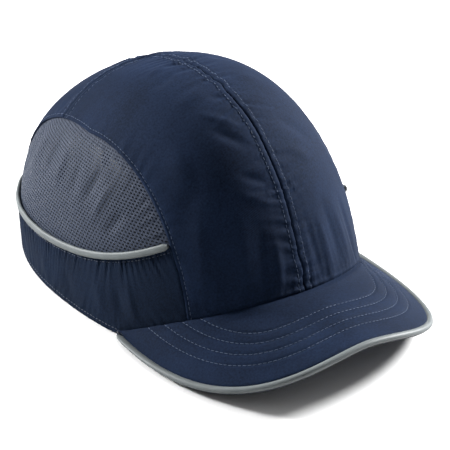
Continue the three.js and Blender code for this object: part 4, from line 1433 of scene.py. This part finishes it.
@dataclass
class SidePanels:
    """The mesh side panels with real holes, the gathered bands and the reflective piping between them."""

    shop: Workshop
    hole_pitch: float = 2.45
    hole_half_width: float = 0.8
    hole_half_height: float = 0.56
    mesh_thickness: float = 0.3
    tuck: float = 4.2
    degrees_per_mm: float = 90 / 150
    band_thickness: float = 0.9
    band_columns: int = 620
    band_rows: int = 34
    piping_half_width: float = 2.1
    piping_half_height: float = 1.2

    def build(self) -> None:
        """Makes both sides."""
        for side in Side:
            self.mesh_panel(side)
            self.band(side)
            self.piping(side)
        self.stitch()

    def surface_table(self) -> tuple[Array, Array, Array, Array]:
        """Measures the side of the crown: azimuths, rises, distance up each column, and distance round."""
        azimuth = np.linspace(SEAMS.mesh_front - 8, SEAMS.mesh_rear + 8, 181)
        rise = np.linspace(1.0, 76.0, 226)
        places = np.stack(np.meshgrid(azimuth, rise, indexing="ij"), -1)
        points = PATTERN.form.point(places)
        steps = np.linalg.norm(np.diff(points, axis=1), axis=-1)
        up = np.concatenate([np.zeros((len(azimuth), 1)), np.cumsum(steps, 1)], 1)
        middle = PATTERN.form.point(np.stack([azimuth, np.full(len(azimuth), 26.0)], -1))
        return azimuth, rise, up, along(middle)

    def place_on_side(self, table: tuple, s: Array, t: Array) -> Array:
        """Turns distances round and up the side into places on the crown."""
        azimuths, rises, up, around = table
        azimuth = np.interp(s, around, azimuths)
        index = np.interp(azimuth, azimuths, np.arange(len(azimuths)))
        low = np.minimum(index.astype(int), len(azimuths) - 2)
        part = index - low
        rise = np.zeros(len(s))
        for k in np.unique(low):
            here = low == k
            first = np.interp(t[here], up[k], rises)
            second = np.interp(t[here], up[k + 1], rises)
            rise[here] = first + (second - first) * part[here]
        return np.stack([azimuth, rise], -1)

    def mesh_panel(self, side: Side) -> None:
        """Makes a mesh panel from cells that each hold one eight-sided hole."""
        table = self.surface_table()
        wide, tall = self.hole_pitch, self.hole_pitch * 0.8
        total_s, total_t = table[3][-1], table[2].max()
        rows, columns = int(total_t / tall), int(total_s / wide)
        # Each cell has a ring round its hole, and an outer ring that its neighbours share.
        turn = np.radians(np.arange(8) * 45)
        hole = np.stack([np.cos(turn) * self.hole_half_width, np.sin(turn) * self.hole_half_height], -1)
        rim = np.array([[1, 0], [1, 1], [0, 1], [-1, 1], [-1, 0], [-1, -1], [0, -1], [1, -1]])
        rim = rim * [wide / 2, tall / 2]
        row, column = np.meshgrid(np.arange(rows), np.arange(columns), indexing="ij")
        centres = np.stack([(column + 0.5) * wide + wide / 2 * (row % 2), (row + 0.5) * tall], -1)
        centres = centres.reshape(-1, 2)
        azimuth, rise = self.place_on_side(table, *centres.T).T
        above, below = PATTERN.arch_rise(azimuth), PATTERN.piping_rise(azimuth)
        tuck = self.tuck * self.degrees_per_mm
        inside = (rise < above + tuck) & (rise > below - tuck)
        inside &= (azimuth > SEAMS.mesh_front - 4) & (azimuth < SEAMS.mesh_rear + 3)
        inside &= above > below - 3
        centres = centres[inside]
        flat = np.concatenate([centres[:, None] + hole[None], centres[:, None] + rim[None]], 1)
        keys = np.round(flat.reshape(-1, 2), 3)
        unique, back = np.unique(keys, axis=0, return_inverse=True)
        numbers = back.reshape(len(centres), 16)
        places = side.turned(self.place_on_side(table, *unique.T))
        lift = self.shop.mesh.lift(places)
        outer = PATTERN.form.lifted(places, lift)
        inner = PATTERN.form.lifted(places, lift - self.mesh_thickness)
        faces, half = [], len(unique)
        edges: dict[tuple[int, int], None] = {}
        for cell in numbers:
            for k in range(8):
                n = (k + 1) % 8
                a, b, c, d = cell[k], cell[8 + k], cell[8 + n], cell[n]
                faces.append((a, b, c, d))
                faces.append((half + a, half + d, half + c, half + b))
                faces.append((a, d, half + d, half + a))
                edges[b, c] = None
        for b, c in edges:
            if (c, b) not in edges:
                faces.append((b, half + b, half + c, c))
        uv = np.concatenate([unique, unique]) / 100
        obj = mesh_object(f"side_mesh_cloth_{side.word}", np.concatenate([outer, inner]), faces, uv)
        dress_object(obj, self.shop.finishes.mesh, Slot.MESH, "cap", f"mesh_panel_{side.word}")
        size = unique.max(0) - unique.min(0)
        flat = (size[1] * MM, size[0] * MM)

    def band(self, side: Side) -> None:
        """Makes a gathered band between the hem and the piping."""
        p = PATTERN
        places = coons(
            p.spread(SEAMS.band_hem, 200),
            p.spread(SEAMS.piping_line, 200),
            p.spread(SEAMS.side_seam, 40),
            p.spread(SEAMS.opening_lower, 40),
            np.linspace(0.0005, 0.9995, self.band_columns),
            clustered(self.band_rows, 0.4),
        )
        places = side.turned(places)
        lift = self.shop.band.lift(places)
        outer = p.form.lifted(places, lift)
        inner = p.form.lifted(places, lift - self.band_thickness)
        level_edge(places, outer, inner)
        # The band takes the darker copy of the navy twill, which is painted shade.
        dress = (self.shop.finishes.shaded_band_twill, Slot.NAVY, "cap", f"side_band_{side.word}")
        cut, name = p.form.point(places), f"side_band_cloth_{side.word}"
        make_sheet(name, (outer, inner), dress, cut)

    def piping(self, side: Side) -> None:
        """Makes the reflective bead along the top of the band, flattened where it is sewn in."""
        p = PATTERN
        places = side.turned(p.spread(SEAMS.piping_line[1:-1], 220))
        across, normal, travel = seam_axes(places)
        wave = 0.08 * np.sin(travel / 3.1) + 0.06 * np.sin(travel / 7.3 + 1)
        centre = p.form.lifted(places, 0.75 + wave)
        ends = np.minimum(travel, travel[-1] - travel)
        wide = self.piping_half_width * (0.55 + 0.45 * smooth(ends / 2.5))
        rings = bead_rings(centre, across, normal, wide, self.piping_half_height, 2.4)
        obj = tube_object(f"side_reflective_bead_{side.word}", rings)
        dress_object(obj, self.shop.finishes.piping, Slot.PIPING, "cap", f"side_piping_{side.word}")

    def stitch(self) -> None:
        """Sews the row under the piping and the hem row on each side."""
        p, shop = PATTERN, self.shop
        lines = []
        for side in Side:
            under = p.form.beside(side.turned(p.spread(SEAMS.piping_line[2:-2], 260)), -side.value * 3.6)
            lines.append(shop.line(shop.band, under, 0.1))
            hem = p.form.beside(side.turned(p.spread(SEAMS.band_hem[3:-3], 260)), side.value * 3.0)
            lines.append(shop.line(shop.band, hem, 0.1))
        stitch = Stitch(pitch=2.6, length=1.9, radius=0.24, seed=11)
        shop.sew("band_stitching", lines, shop.finishes.dark_thread, stitch)


@dataclass
class Visor:
    """The stiff visor: covers with four sewn rows, the silver piping and the dark edge under it."""

    shop: Workshop
    row_insets: tuple[float, ...] = (16.8, 23.8, 31.0, 38.0)
    board_half: float = 1.0
    cover: float = 1.0
    layer_gap: float = 0.3
    edge_gap: float = 3.3
    edge_roll: float = 0.7
    root_swell: float = 0.35
    root_roll: float = 0.5
    columns: int = 260
    rows: int = 90
    groove: float = 0.4
    quilt: float = 0.22

    def steps(self, count: int) -> Array:
        """Places from corner to corner, closer together where the edge turns."""
        return signed_power(np.linspace(-VISOR.end, VISOR.end, count), 1.15)

    def edge_distance(self, points: Array) -> Array:
        """Distance from points to the visor's outer edge."""
        return nearest(points, VISOR.edge(np.linspace(-1, 1, 500)))[0]

    def relief(self, distance: Array) -> Array:
        """Height of the cover's quilting at a distance from the edge."""
        total = np.zeros(distance.shape)
        for inset in self.row_insets:
            total -= self.groove * hump(distance - inset, 1.0)
        return total + self.quilt * smooth((distance - 12) / 6)

    def surfaces(self, below: bool) -> tuple[Array, Array, Array, Array]:
        """The outer and inner grids of a cover, the distance to the edge, and its outward normals."""
        steps, outs = self.steps(self.columns), clustered(self.rows, 0.35)
        sign = -1.0 if below else 1.0
        low = self.board_half + self.layer_gap
        root = 0.5 if below else 0.15
        lifts = (sign * (low + self.cover), sign * low)
        outer, inner = (VISOR.face(steps, outs, lift, root, self.edge_gap) for lift in lifts)
        normal = unit(np.cross(np.gradient(outer, axis=1), np.gradient(outer, axis=0)))
        normal = normal * np.sign(normal[..., 2:3]) * sign
        distance = self.edge_distance(outer)
        share = VISOR.share(steps)[None, :]
        lift = self.relief(distance) * share
        # The cover rolls down into the piping at the edge and into the crown seam at the root.
        lift -= self.edge_roll * hump(distance - self.edge_gap, 1.2) * share
        if not below:
            swell = self.root_swell * hump(outs[:, None] - 0.06, 0.05)
            lift += swell - self.root_roll * hump(outs[:, None], 0.025)
        return outer + normal * lift[..., None], inner, distance, normal

    def cover_piece(self, below: bool) -> list[tuple[Array, Array]]:
        """Makes a cover and gives the lines of stitches on it."""
        outer, inner, distance, normal = self.surfaces(below)
        word = "under" if below else "top"
        dress = (self.shop.finishes.twill, Slot.NAVY, "cap", f"visor_{word}_cover")
        make_sheet(f"visor_{word}_cloth", (outer, inner), dress, inner)
        lines = []
        for inset in self.row_insets:
            run, facing = [], []
            for k in range(outer.shape[1]):
                column = distance[::-1, k]
                if column[-1] < inset + 0.4:
                    continue
                index = np.interp(inset, column, np.arange(len(column))[::-1])
                j = min(int(index), len(column) - 2)
                part = index - j
                run.append(outer[j, k] + (outer[j + 1, k] - outer[j, k]) * part + normal[j, k] * 0.14)
                facing.append(normal[j, k])
            lines.append((np.array(run), np.array(facing)))
        return lines

    def bead(
        self, name: str, inset: float, half: float, lift: float, material: Material, *nodes: str
    ) -> None:
        """Makes a bead round the visor's outer edge.

        Args:
            name: The piece's name.
            inset: Distance of its middle inside the edge.
            half: Half of its width.
            lift: Height of its middle.
            material: Its finish.
            *nodes: The solids that it stands for.
        """
        steps = self.steps(360)
        centre, inward, tangent = VISOR.inset(steps, inset)
        upward = unit(np.cross(inward, tangent))
        upward *= np.sign(upward[:, 2:3])
        share = VISOR.share(steps)
        ends = smooth((VISOR.end**1.15 - np.abs(steps)) / 0.012)
        wide = half * (0.4 + 0.6 * ends)
        high = half * 0.86 * share * (0.4 + 0.6 * ends)
        rings = bead_rings(centre + upward * (lift * share)[:, None], inward, upward, wide, high, 2.2)
        obj = tube_object(name, rings)
        dress_object(obj, material, Slot.PIPING, "cap", *nodes)

    def build(self) -> None:
        """Makes the covers, the piping, the dark edge and the stitching."""
        finishes = self.shop.finishes
        top, under = self.cover_piece(False), self.cover_piece(True)
        self.bead("visor_reflective_bead", 2.1, 2.1, 0.35, finishes.piping, "visor_piping")
        self.bead("visor_under_edge_bead", 2.6, 1.15, -1.35, finishes.binding)
        for word, lines, seed in (("top", top, 17), ("under", under, 19)):
            stitch = Stitch(pitch=2.8, length=2.35, radius=0.16, seed=seed)
            self.shop.sew(f"visor_{word}_stitching", lines, finishes.thread, stitch)
        board = frame["nodes"]["visor_board"]
        board.data.materials.clear()
        board.data.materials.append(finishes.board)


@dataclass
class Lining:
    """What lies inside the crown: the padded sweatband, its label, the seam tapes and the loop patch."""

    shop: Workshop
    band_lift: float = -1.8
    band_thickness: float = 1.6
    band_height: float = 28.0
    band_end: float = 156.0
    tape_thickness: float = 0.5
    tape_half_width: float = 5.0

    def build(self) -> None:
        """Makes the lining pieces."""
        self.sweatband()
        self.label()
        self.tapes()
        self.patch()

    def sweatband(self) -> None:
        """Makes the sweatband, padded between its edges, with a row of stitches near its top."""
        form = PATTERN.form
        azimuth = np.linspace(-self.band_end, self.band_end, 420)
        w = clustered(26, 0.5)[:, None]
        low = PATTERN.hem_height(azimuth)[None]
        high = PATTERN.rim_height(azimuth)[None] + self.band_height
        height = low + (high - low) * w
        places = form.at_height(np.broadcast_to(azimuth, height.shape), height)
        travel = along(form.point(places[12]))
        ripple = Ripple(41, 5.0, 19.0).at(travel)[None]
        pad = 1 - np.abs(2 * w - 1) ** 6
        quilt = 0.35 * pad - 0.5 * hump(w - 0.86, 0.03) - 0.4 * hump(w - 0.1, 0.03) + 0.12 * ripple * pad
        outer = form.lifted(places, self.band_lift)
        inner = form.lifted(places, self.band_lift - self.band_thickness * (0.75 + 0.25 * pad) - quilt * 0.5)
        level_edge(places, outer, inner)
        dress = (self.shop.finishes.lining, Slot.SWEAT, "cap", "sweatband")
        make_sheet("sweatband_jersey", (outer, inner), dress, form.point(places))
        lines = []
        for share in (0.1, 0.86):
            row = round(float(np.interp(share, w[:, 0], np.arange(len(w)))))
            normal = -form.normal(places[row])
            lines.append((inner[row] + normal * 0.1, normal))
        stitch, thread = Stitch(pitch=3.0, length=2.2, radius=0.25, seed=23), self.shop.finishes.dark_thread
        self.shop.sew("sweatband_stitching", lines, thread, stitch, Slot.SWEAT)

    def label(self) -> None:
        """Makes the blank label on the sweatband."""
        form = PATTERN.form
        around, up = np.meshgrid(np.linspace(120, 136, 30), np.linspace(6, 24, 24))
        places = form.at_height(around, up)
        lift = self.band_lift - self.band_thickness - 0.9
        curl = 0.25 * np.sin(around / 2.1) * (up - 6) / 18
        outer, inner = form.lifted(places, lift + curl), form.lifted(places, lift - 0.4 + curl)
        dress, cut = (self.shop.finishes.label, Slot.LABEL, "cap", "size_label"), form.point(places)
        make_sheet("blank_woven_label", (outer, inner), dress, cut)

    def tape(self, name: str, places: Array, node: str) -> None:
        """Makes a tape that covers a seam on the inside."""
        form = PATTERN.form
        across = np.linspace(-self.tape_half_width, self.tape_half_width, 9)
        grid = np.stack([form.beside(places, d) for d in across])
        bulge = 0.5 * (1 - (across / self.tape_half_width) ** 2)[:, None]
        lift = np.full(grid.shape[:-1], -1.9) - bulge * 0.6
        outer, inner = form.lifted(grid, lift), form.lifted(grid, lift - self.tape_thickness)
        dress = (self.shop.finishes.tape, Slot.TAPE, "cap", node)
        make_sheet(name, (outer, inner), dress, form.point(grid))

    def tapes(self) -> None:
        """Makes the six seam tapes."""
        p, form = PATTERN, PATTERN.form
        foot = float(form.rise_of_height(0.0, p.rim_front_height + 31))
        self.tape("front_seam_bias_tape", upright(0.0, foot, 82.0, 90), "front_seam_tape")
        back_foot = float(form.rise_of_height(180.0, p.opening_height)) + 3
        self.tape("back_seam_bias_tape", upright(180.0, back_foot, 76.0, 90), "rear_seam_tape")
        side_foot = float(p.arch_rise(p.rear_seam_azimuth)) + 9
        side = upright(p.rear_seam_azimuth, side_foot, 78.0, 90)
        arch = np.concatenate([SEAMS.front_arch[2:], SEAMS.rear_arch[1:]])
        arch = arch[form.point(arch)[:, 2] > 36]
        arch = p.spread(arch, 160)
        for s in Side:
            self.tape(f"rear_side_bias_tape_{s.word}", s.turned(side), f"side_seam_tape_{s.word}")
            self.tape(f"arch_bias_tape_{s.word}", s.turned(arch), f"arch_tape_{s.word}")

    def patch(self) -> None:
        """Makes the loop patch inside the crown that holds the insert."""
        form = PATTERN.form
        layers = [form.lifted(crest_places(), lift) for lift in (-3.0, -3.6)]
        make_sheet("crown_loop_pile", layers, (self.shop.finishes.loop, Slot.HOOK, "cap", "crown_loop_patch"))


@dataclass
class Closure:
    """The bound opening at the back and the strap of two overlapping tabs."""

    shop: Workshop
    binding_radius: float = 1.7
    binding_inset: float = 2.1
    binding_lift: float = -0.6
    strap: float = 1.4
    bottom: float = 4.0
    top: float = 27.0
    hook_to: float = 22.0
    loop_from: float = -25.0
    loop_to: float = 42.0
    loop_lift: float = -4.2
    pad: float = 1.0
    pad_gap: float = 0.4
    margin: float = 2.5
    tab_round: float = 9.0
    pad_round: float = 8.0

    def strip(
        self, start: float, end: float, low: float, high: float,
        lift: float, thickness: float, round_end: float = 0.0,
    ) -> tuple[Array, Array, Array]:
        """Grids of a level strip across the back.

        Args:
            start: Where it starts, left of the middle.
            end: Where it ends.
            low: Height of its lower edge.
            high: Height of its upper edge.
            lift: Height of its outer face over the crown.
            thickness: Its thickness.
            round_end: Radius of the rounded end, or 0 for a square one.

        Returns:
            Its outer grid, its inner grid and its places.
        """
        x = start + (end - start) * clustered(90, 0.5)
        w = clustered(26, 0.5)
        near = np.clip((x - (end - round_end)) / max(round_end, 1e-6), 0, 1)
        narrow = 1 - (1 - np.sqrt(np.maximum(1 - near**2, 0.04))) * (round_end > 0) * 0.55
        middle, half = (low + high) / 2, (high - low) / 2
        height = middle + (2 * w[:, None] - 1) * half * narrow[None]
        places = PATTERN.rear_place(np.broadcast_to(x, height.shape), height)
        rim = hump(w[:, None], 0.03) + hump(w[:, None] - 1, 0.03)
        form = PATTERN.form
        outer = form.lifted(places, lift - 0.25 * rim)
        inner = form.lifted(places, lift - thickness + 0.25 * rim)
        return outer, inner, places

    def build(self) -> None:
        """Makes the binding, the two tabs, their pads and their stitching."""
        self.binding()
        loop_pad_lift = self.loop_lift + self.pad_gap + self.pad
        hook_pad_lift = loop_pad_lift + self.pad_gap + self.pad
        hook_lift = hook_pad_lift + self.pad_gap + self.strap
        node_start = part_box("hook_strap")[0].x / MM
        span = (node_start, self.hook_to)
        self.tab("hook_tab_webbing", *span, hook_lift, "closure_strap", "hook_strap", self.tab_round)
        self.tab("loop_tab_webbing", self.loop_from, self.loop_to, self.loop_lift, "cap", "loop_strap")
        low, high = self.bottom + self.margin, self.top - self.margin
        end = self.hook_to - self.margin
        outer, inner, places = self.strip(-8, end, low, high, hook_pad_lift, self.pad, self.pad_round)
        layers = (outer - 0.35 * PATTERN.form.normal(places), inner)
        hook, loop = self.shop.finishes.hook, self.shop.finishes.loop
        make_sheet("hook_pad_tape", layers, (hook, Slot.HOOK, "closure_strap", "hook_pad"))
        layers = self.strip(self.margin + self.loop_from, 14, low, high, loop_pad_lift, self.pad)[:2]
        make_sheet("loop_pad_pile", layers, (loop, Slot.HOOK, "cap", "loop_pad"))
        roots = self.strip(-6.5, end - 2, low + 1, high - 1, hook_pad_lift, self.pad, self.pad_round)
        normals = -PATTERN.form.normal(roots[2])[::2, ::3]
        grid = roots[1][::2, ::3] + normals * 0.05
        hooks = self.shop.hooks.stand("hook_pad_hooks", grid, normals, hook, 0.28, 29)
        dress_object(hooks, hook, Slot.HOOK, "closure_strap")

    def tab(
        self, name: str, start: float, end: float, lift: float, body: str, node: str, round_end: float = 0.0
    ) -> None:
        """Makes a strap tab with stitches along its long edges and across its end."""
        outer, inner, places = self.strip(start, end, self.bottom, self.top, lift, self.strap, round_end)
        dress = (self.shop.finishes.webbing, Slot.NAVY, body, node)
        cut, normal = PATTERN.form.point(places), PATTERN.form.normal(places)
        make_sheet(name, (outer, inner), dress, cut)
        raised = outer + normal * 0.12
        lines = [(raised[row, 5:-7], normal[row, 5:-7]) for row in (3, -4)]
        lines += [(raised[3:-3, column], normal[3:-3, column]) for column in (6, -8)]
        stitch = Stitch(pitch=2.6, length=1.9, radius=0.25, seed=31)
        self.shop.sew(f"{node}_stitching", lines, self.shop.finishes.thread, stitch, body=body)

    def binding(self) -> None:
        """Makes the rolled binding round the opening."""
        form = PATTERN.form
        left = PATTERN.opening_place(np.linspace(3, 90, 90), self.binding_inset)
        right = left[::-1][1:].copy()
        right[:, 0] = 360 - right[:, 0]
        places = PATTERN.spread(np.concatenate([left, right]), 200)
        across, normal, travel = seam_axes(places)
        centre = form.lifted(places, self.binding_lift + 0.07 * np.sin(travel / 2.3))
        rings = bead_rings(centre, across, normal, self.binding_radius, self.binding_radius, 2.6)
        obj = tube_object("rear_opening_bound_edge", rings)
        dress_object(obj, self.shop.finishes.binding, Slot.NAVY, "cap", "opening_binding")
        edge = form.beside(places, 0.4)
        line = (form.lifted(edge, self.binding_lift + self.binding_radius + 0.05), form.normal(edge))
        stitch = Stitch(pitch=2.6, length=1.9, radius=0.24, seed=37)
        self.shop.sew("opening_stitching", [line], self.shop.finishes.thread, stitch)


@dataclass
class Insert:
    """The safety insert: a vented plastic shell, five foam pads and the hook patch on top."""

    shop: Workshop
    form: CrownForm = CrownForm(half_width=83.4, front_reach=120.4, rear_reach=101.0, junction_height=113.6)
    wall: float = 2.0
    edge_above_rim: float = 32.0
    rear_lift: float = 32.0
    rear_from: float = 125.0
    rear_to: float = 160.0
    top_rise: float = 86.0
    vent_width: float = 7.0
    vent_length: float = 24.0
    foam: float = 4.5
    foam_gap: float = 0.9
    foam_edge: float = 0.25
    vents: tuple = ((14, 55), (44, 58), (72, 44), (92, 34), (112, 34), (150, 58))
    pads: tuple = (
        ("front", -30, 30, 36, 50),
        ("crown", -48, 48, 64, 80),
        ("left", 62, 120, 44, 56),
        ("right", -120, -62, 44, 56),
        ("rear", 164, 196, 50, 68),
    )

    def build(self) -> None:
        """Makes the shell, the pads and the hook patch."""
        self.shell()
        for pad in self.pads:
            self.pad(*pad)
        self.patch()

    def cutter(self, azimuth: float, rise: float) -> tuple[Array, list]:
        """A slot-shaped prism through the shell, with its long side up the crown."""
        place = np.array([azimuth, rise], float)
        _, upward, normal = self.form.axes(place)
        long = unit(upward)
        across = unit(np.cross(normal, long))
        turn = np.linspace(0, 2 * math.pi, 28, endpoint=False)
        radius = self.vent_width / 2
        straight = self.vent_length / 2 - radius
        reach = radius * np.sin(turn) + straight * np.sign(np.sin(turn + 1e-6))
        ring = self.form.point(place) + np.outer(radius * np.cos(turn), across) + np.outer(reach, long)
        points = np.concatenate([ring - normal * 3 * self.wall, ring + normal * 3 * self.wall])
        n = len(turn)
        faces = [[i, (i + 1) % n, n + (i + 1) % n, n + i] for i in range(n)]
        return points, [*faces, list(range(n))[::-1], list(range(n, 2 * n))]

    def shell(self) -> None:
        """Makes the shell with a stiffening rib round its edge, and cuts its vents."""
        azimuth = np.linspace(-180, 180, 180, endpoint=False)
        turned = smooth((np.abs(azimuth) - self.rear_from) / (self.rear_to - self.rear_from))
        edge = self.edge_above_rim + PATTERN.rim_height(azimuth) + self.rear_lift * turned
        foot = self.form.rise_of_height(azimuth, edge)
        w = clustered(46, 0.3)[:, None]
        rise = foot[None] + (self.top_rise - foot[None]) * w
        places = np.stack([np.broadcast_to(azimuth, rise.shape), rise], -1)
        up = np.linalg.norm(self.form.point(places) - self.form.point(places[:1]), axis=-1)
        lip = 0.9 * hump(up, 0.9)
        rib = 0.5 * hump(up - 6.0, 1.6)
        outer = self.form.lifted(places, -lip)
        inner = self.form.lifted(places, -self.wall + lip - rib)
        shell = sheet_object("vented_plastic_shell", outer, inner, True)
        points, faces = [], []
        for across, rise in self.vents:
            for side in Side:
                ring, around = self.cutter(side.value * across, rise)
                start = sum(len(part) for part in points)
                points.append(ring)
                faces += [[start + k for k in face] for face in around]
        cutter = mesh_object("vent_cutter", np.concatenate(points), faces)
        modifier = shell.modifiers.new("vents", "BOOLEAN")
        modifier.operation, modifier.solver, modifier.object = "DIFFERENCE", "EXACT", cutter
        bake(shell)
        bpy.data.objects.remove(cutter)
        shell.data.polygons.foreach_set("use_smooth", np.ones(len(shell.data.polygons), bool))
        shell.data.set_sharp_from_angle(angle=0.7)
        dress_object(shell, self.shop.finishes.shell, Slot.SHELL, "insert", "bump_shell")

    def pad(self, name: str, az0: float, az1: float, rise0: float, rise1: float) -> None:
        """Makes one foam pad, crowned towards the head with pulled-in edges.

        Args:
            name: Where the pad is.
            az0: Azimuth of its first end.
            az1: Azimuth of its other end.
            rise0: Rise of its lower edge.
            rise1: Rise of its upper edge.
        """
        u, w = np.meshgrid(clustered(64, 0.75), clustered(34, 0.75))
        # The corners are rounded by drawing the outline in towards the middle.
        a, b = 2 * u - 1, 2 * w - 1
        pull = 1 - 0.09 * (np.abs(a) ** 6 * np.abs(b) ** 6)
        a, b = a * pull, b * pull
        azimuth = (az0 + az1) / 2 + a * (az1 - az0) / 2
        places = np.stack([azimuth, (rise0 + rise1) / 2 + b * (rise1 - rise0) / 2], -1)
        side = np.maximum(np.abs(a), np.abs(b))
        crown = np.sqrt(np.clip(1 - side**9, 0, 1)) * (0.86 + 0.14 * (1 - np.maximum(a * a, b * b)))
        top = -self.wall - self.foam_gap
        inner = self.form.lifted(places, top - self.foam_edge - (self.foam - self.foam_edge) * crown)
        dress = (self.shop.finishes.foam, Slot.FOAM, "insert", f"foam_pad_{name}")
        obj = make_sheet(f"head_pad_{name}", (self.form.lifted(places, top), inner), dress)

    def patch(self) -> None:
        """Makes the hook patch on top of the shell with its field of hooks."""
        hook, places = self.shop.finishes.hook, crest_places()
        outer, inner = (self.form.lifted(places, lift) for lift in (0.6, 0.3))
        make_sheet("insert_hook_tape", (outer, inner), (hook, Slot.HOOK, "insert", "insert_hook_patch"))
        normals = self.form.normal(places)
        roots = (outer + normals * 0.12)[1:-1, 1:-1]
        hooks = self.shop.hooks.stand("insert_patch_hooks", roots, normals[1:-1, 1:-1], hook, 0.3, 43)
        dress_object(hooks, hook, Slot.HOOK, "insert")


@dataclass
class Studio:
    """Plain pale floor, soft lights and the camera."""

    azimuth: float = -36.5
    elevation: float = 27.8
    roll: float = 1.6
    distance: float = 1.2495
    lens: float = 171.9
    aim: tuple[float, float, float] = (0.0, 0.0044, 0.060)
    aim_right: float = 0.0084
    aim_down: float = 0.0225
    bright_side: tuple[float, float, float] = (0.6, 0.62, 0.5)
    sky_range: tuple[float, float] = (0.03, 0.64)

    def camera(self) -> None:
        """Makes the camera."""
        data = bpy.data.cameras.new("camera")
        data.lens, data.sensor_width = self.lens, 36.0
        data.clip_start, data.clip_end = 0.05, 20.0
        camera = add_object("camera", data)
        bpy.context.scene.camera = camera
        a, e, r = (math.radians(v) for v in (self.azimuth, self.elevation, self.roll))
        back = Vector((math.sin(a) * math.cos(e), -math.cos(a) * math.cos(e), math.sin(e)))
        right = Vector((math.cos(a), math.sin(a), 0.0))
        up = back.cross(right).normalized()
        right, up = right * math.cos(r) + up * math.sin(r), up * math.cos(r) - right * math.sin(r)
        target = Vector(self.aim)
        place = target + back * self.distance
        centre = target + right * self.aim_right - up * self.aim_down
        back = (place - centre).normalized()
        right = up.cross(back).normalized()
        up = back.cross(right)
        turn = Matrix((right, up, back)).transposed().to_4x4()
        camera.matrix_world = Matrix.Translation(place) @ turn

    def light(self, name: str, place: tuple, size: float, power: float, spread: float) -> None:
        """Makes a soft area light that faces the cap and spreads over an angle in degrees."""
        data = bpy.data.lights.new(name, "AREA")
        data.shape, data.size, data.energy = "DISK", size, power
        data.spread = math.radians(spread)
        light = add_object(name, data)
        light.location = place
        light.rotation_mode = "QUATERNION"
        light.rotation_quaternion = (Vector(place) - Vector((0, 0, 0.06))).to_track_quat("Z", "Y")

    def build(self) -> None:
        """Makes the camera, the world, the lights and the floor."""
        self.camera()
        scene = bpy.context.scene
        scene.view_settings.view_transform = "Standard"
        world = bpy.data.worlds.new("studio")
        scene.world = world
        world.use_nodes = True
        self.sky(world.node_tree)
        self.light("key right", (1.35, -0.1, 0.75), 0.5, 9.9, 60)
        self.light("top back", (0.0, 1.3, 1.6), 1.1, 13.5, 180)
        self.light("left rear", (-1.1, 1.5, 0.85), 0.5, 10.0, 60)
        self.floor()

    def sky(self, tree: bpy.types.NodeTree) -> None:
        """Makes a white studio round the cap, darker on the side that the cap's front right faces."""
        kit = TreeKit(tree)
        around = kit.add("ShaderNodeTexCoord").outputs["Generated"]
        toward = kit.add("ShaderNodeVectorMath", {0: around, 1: self.bright_side}, operation="DOT_PRODUCT")
        low, high = self.sky_range
        span = {"From Min": -1.0, "From Max": 1.0, "To Min": low, "To Max": high}
        strength = kit.add("ShaderNodeMapRange", {**span, "Value": toward.outputs["Value"]})
        background = tree.nodes["Background"].inputs
        kit.feed(background["Strength"], strength.outputs["Result"])
        kit.feed(background["Color"], (1.0, 1.0, 1.0, 1.0))

    def floor(self) -> None:
        """Makes the pale floor."""
        mesh = bpy.data.meshes.new("floor")
        reach, low = 6.0, -0.0006
        corners = [(-reach, -reach, low), (reach, -reach, low), (reach, reach, low), (-reach, reach, low)]
        mesh.from_pydata(corners, [], [(0, 1, 2, 3)])
        floor = add_object("floor", mesh)
        kit = NodeKit("white studio paper")
        fibre = kit.noise(kit.place(), 900.0, 2.0)
        kit.set(Base_Color=kit.mix(fibre, colour("#e4e4e4"), colour("#ececec")), Roughness=0.9)
        mesh.materials.append(kit.material)


def main() -> None:
    """Builds the studio and every sub-assembly in order."""
    logging.basicConfig(level=logging.INFO, format="%(name)s %(message)s")
    Studio().build()
    shop = Workshop(Finishes(), StitchRun(), HookField(), crown_cloth(), band_cloth(), mesh_cloth())
    for assembly in (Crown(shop), SidePanels(shop), Visor(shop), Lining(shop), Closure(shop), Insert(shop)):
        LOG.info("building %s", type(assembly).__name__)
        assembly.build()
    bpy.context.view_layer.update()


if __name__ == "__main__":
    main()
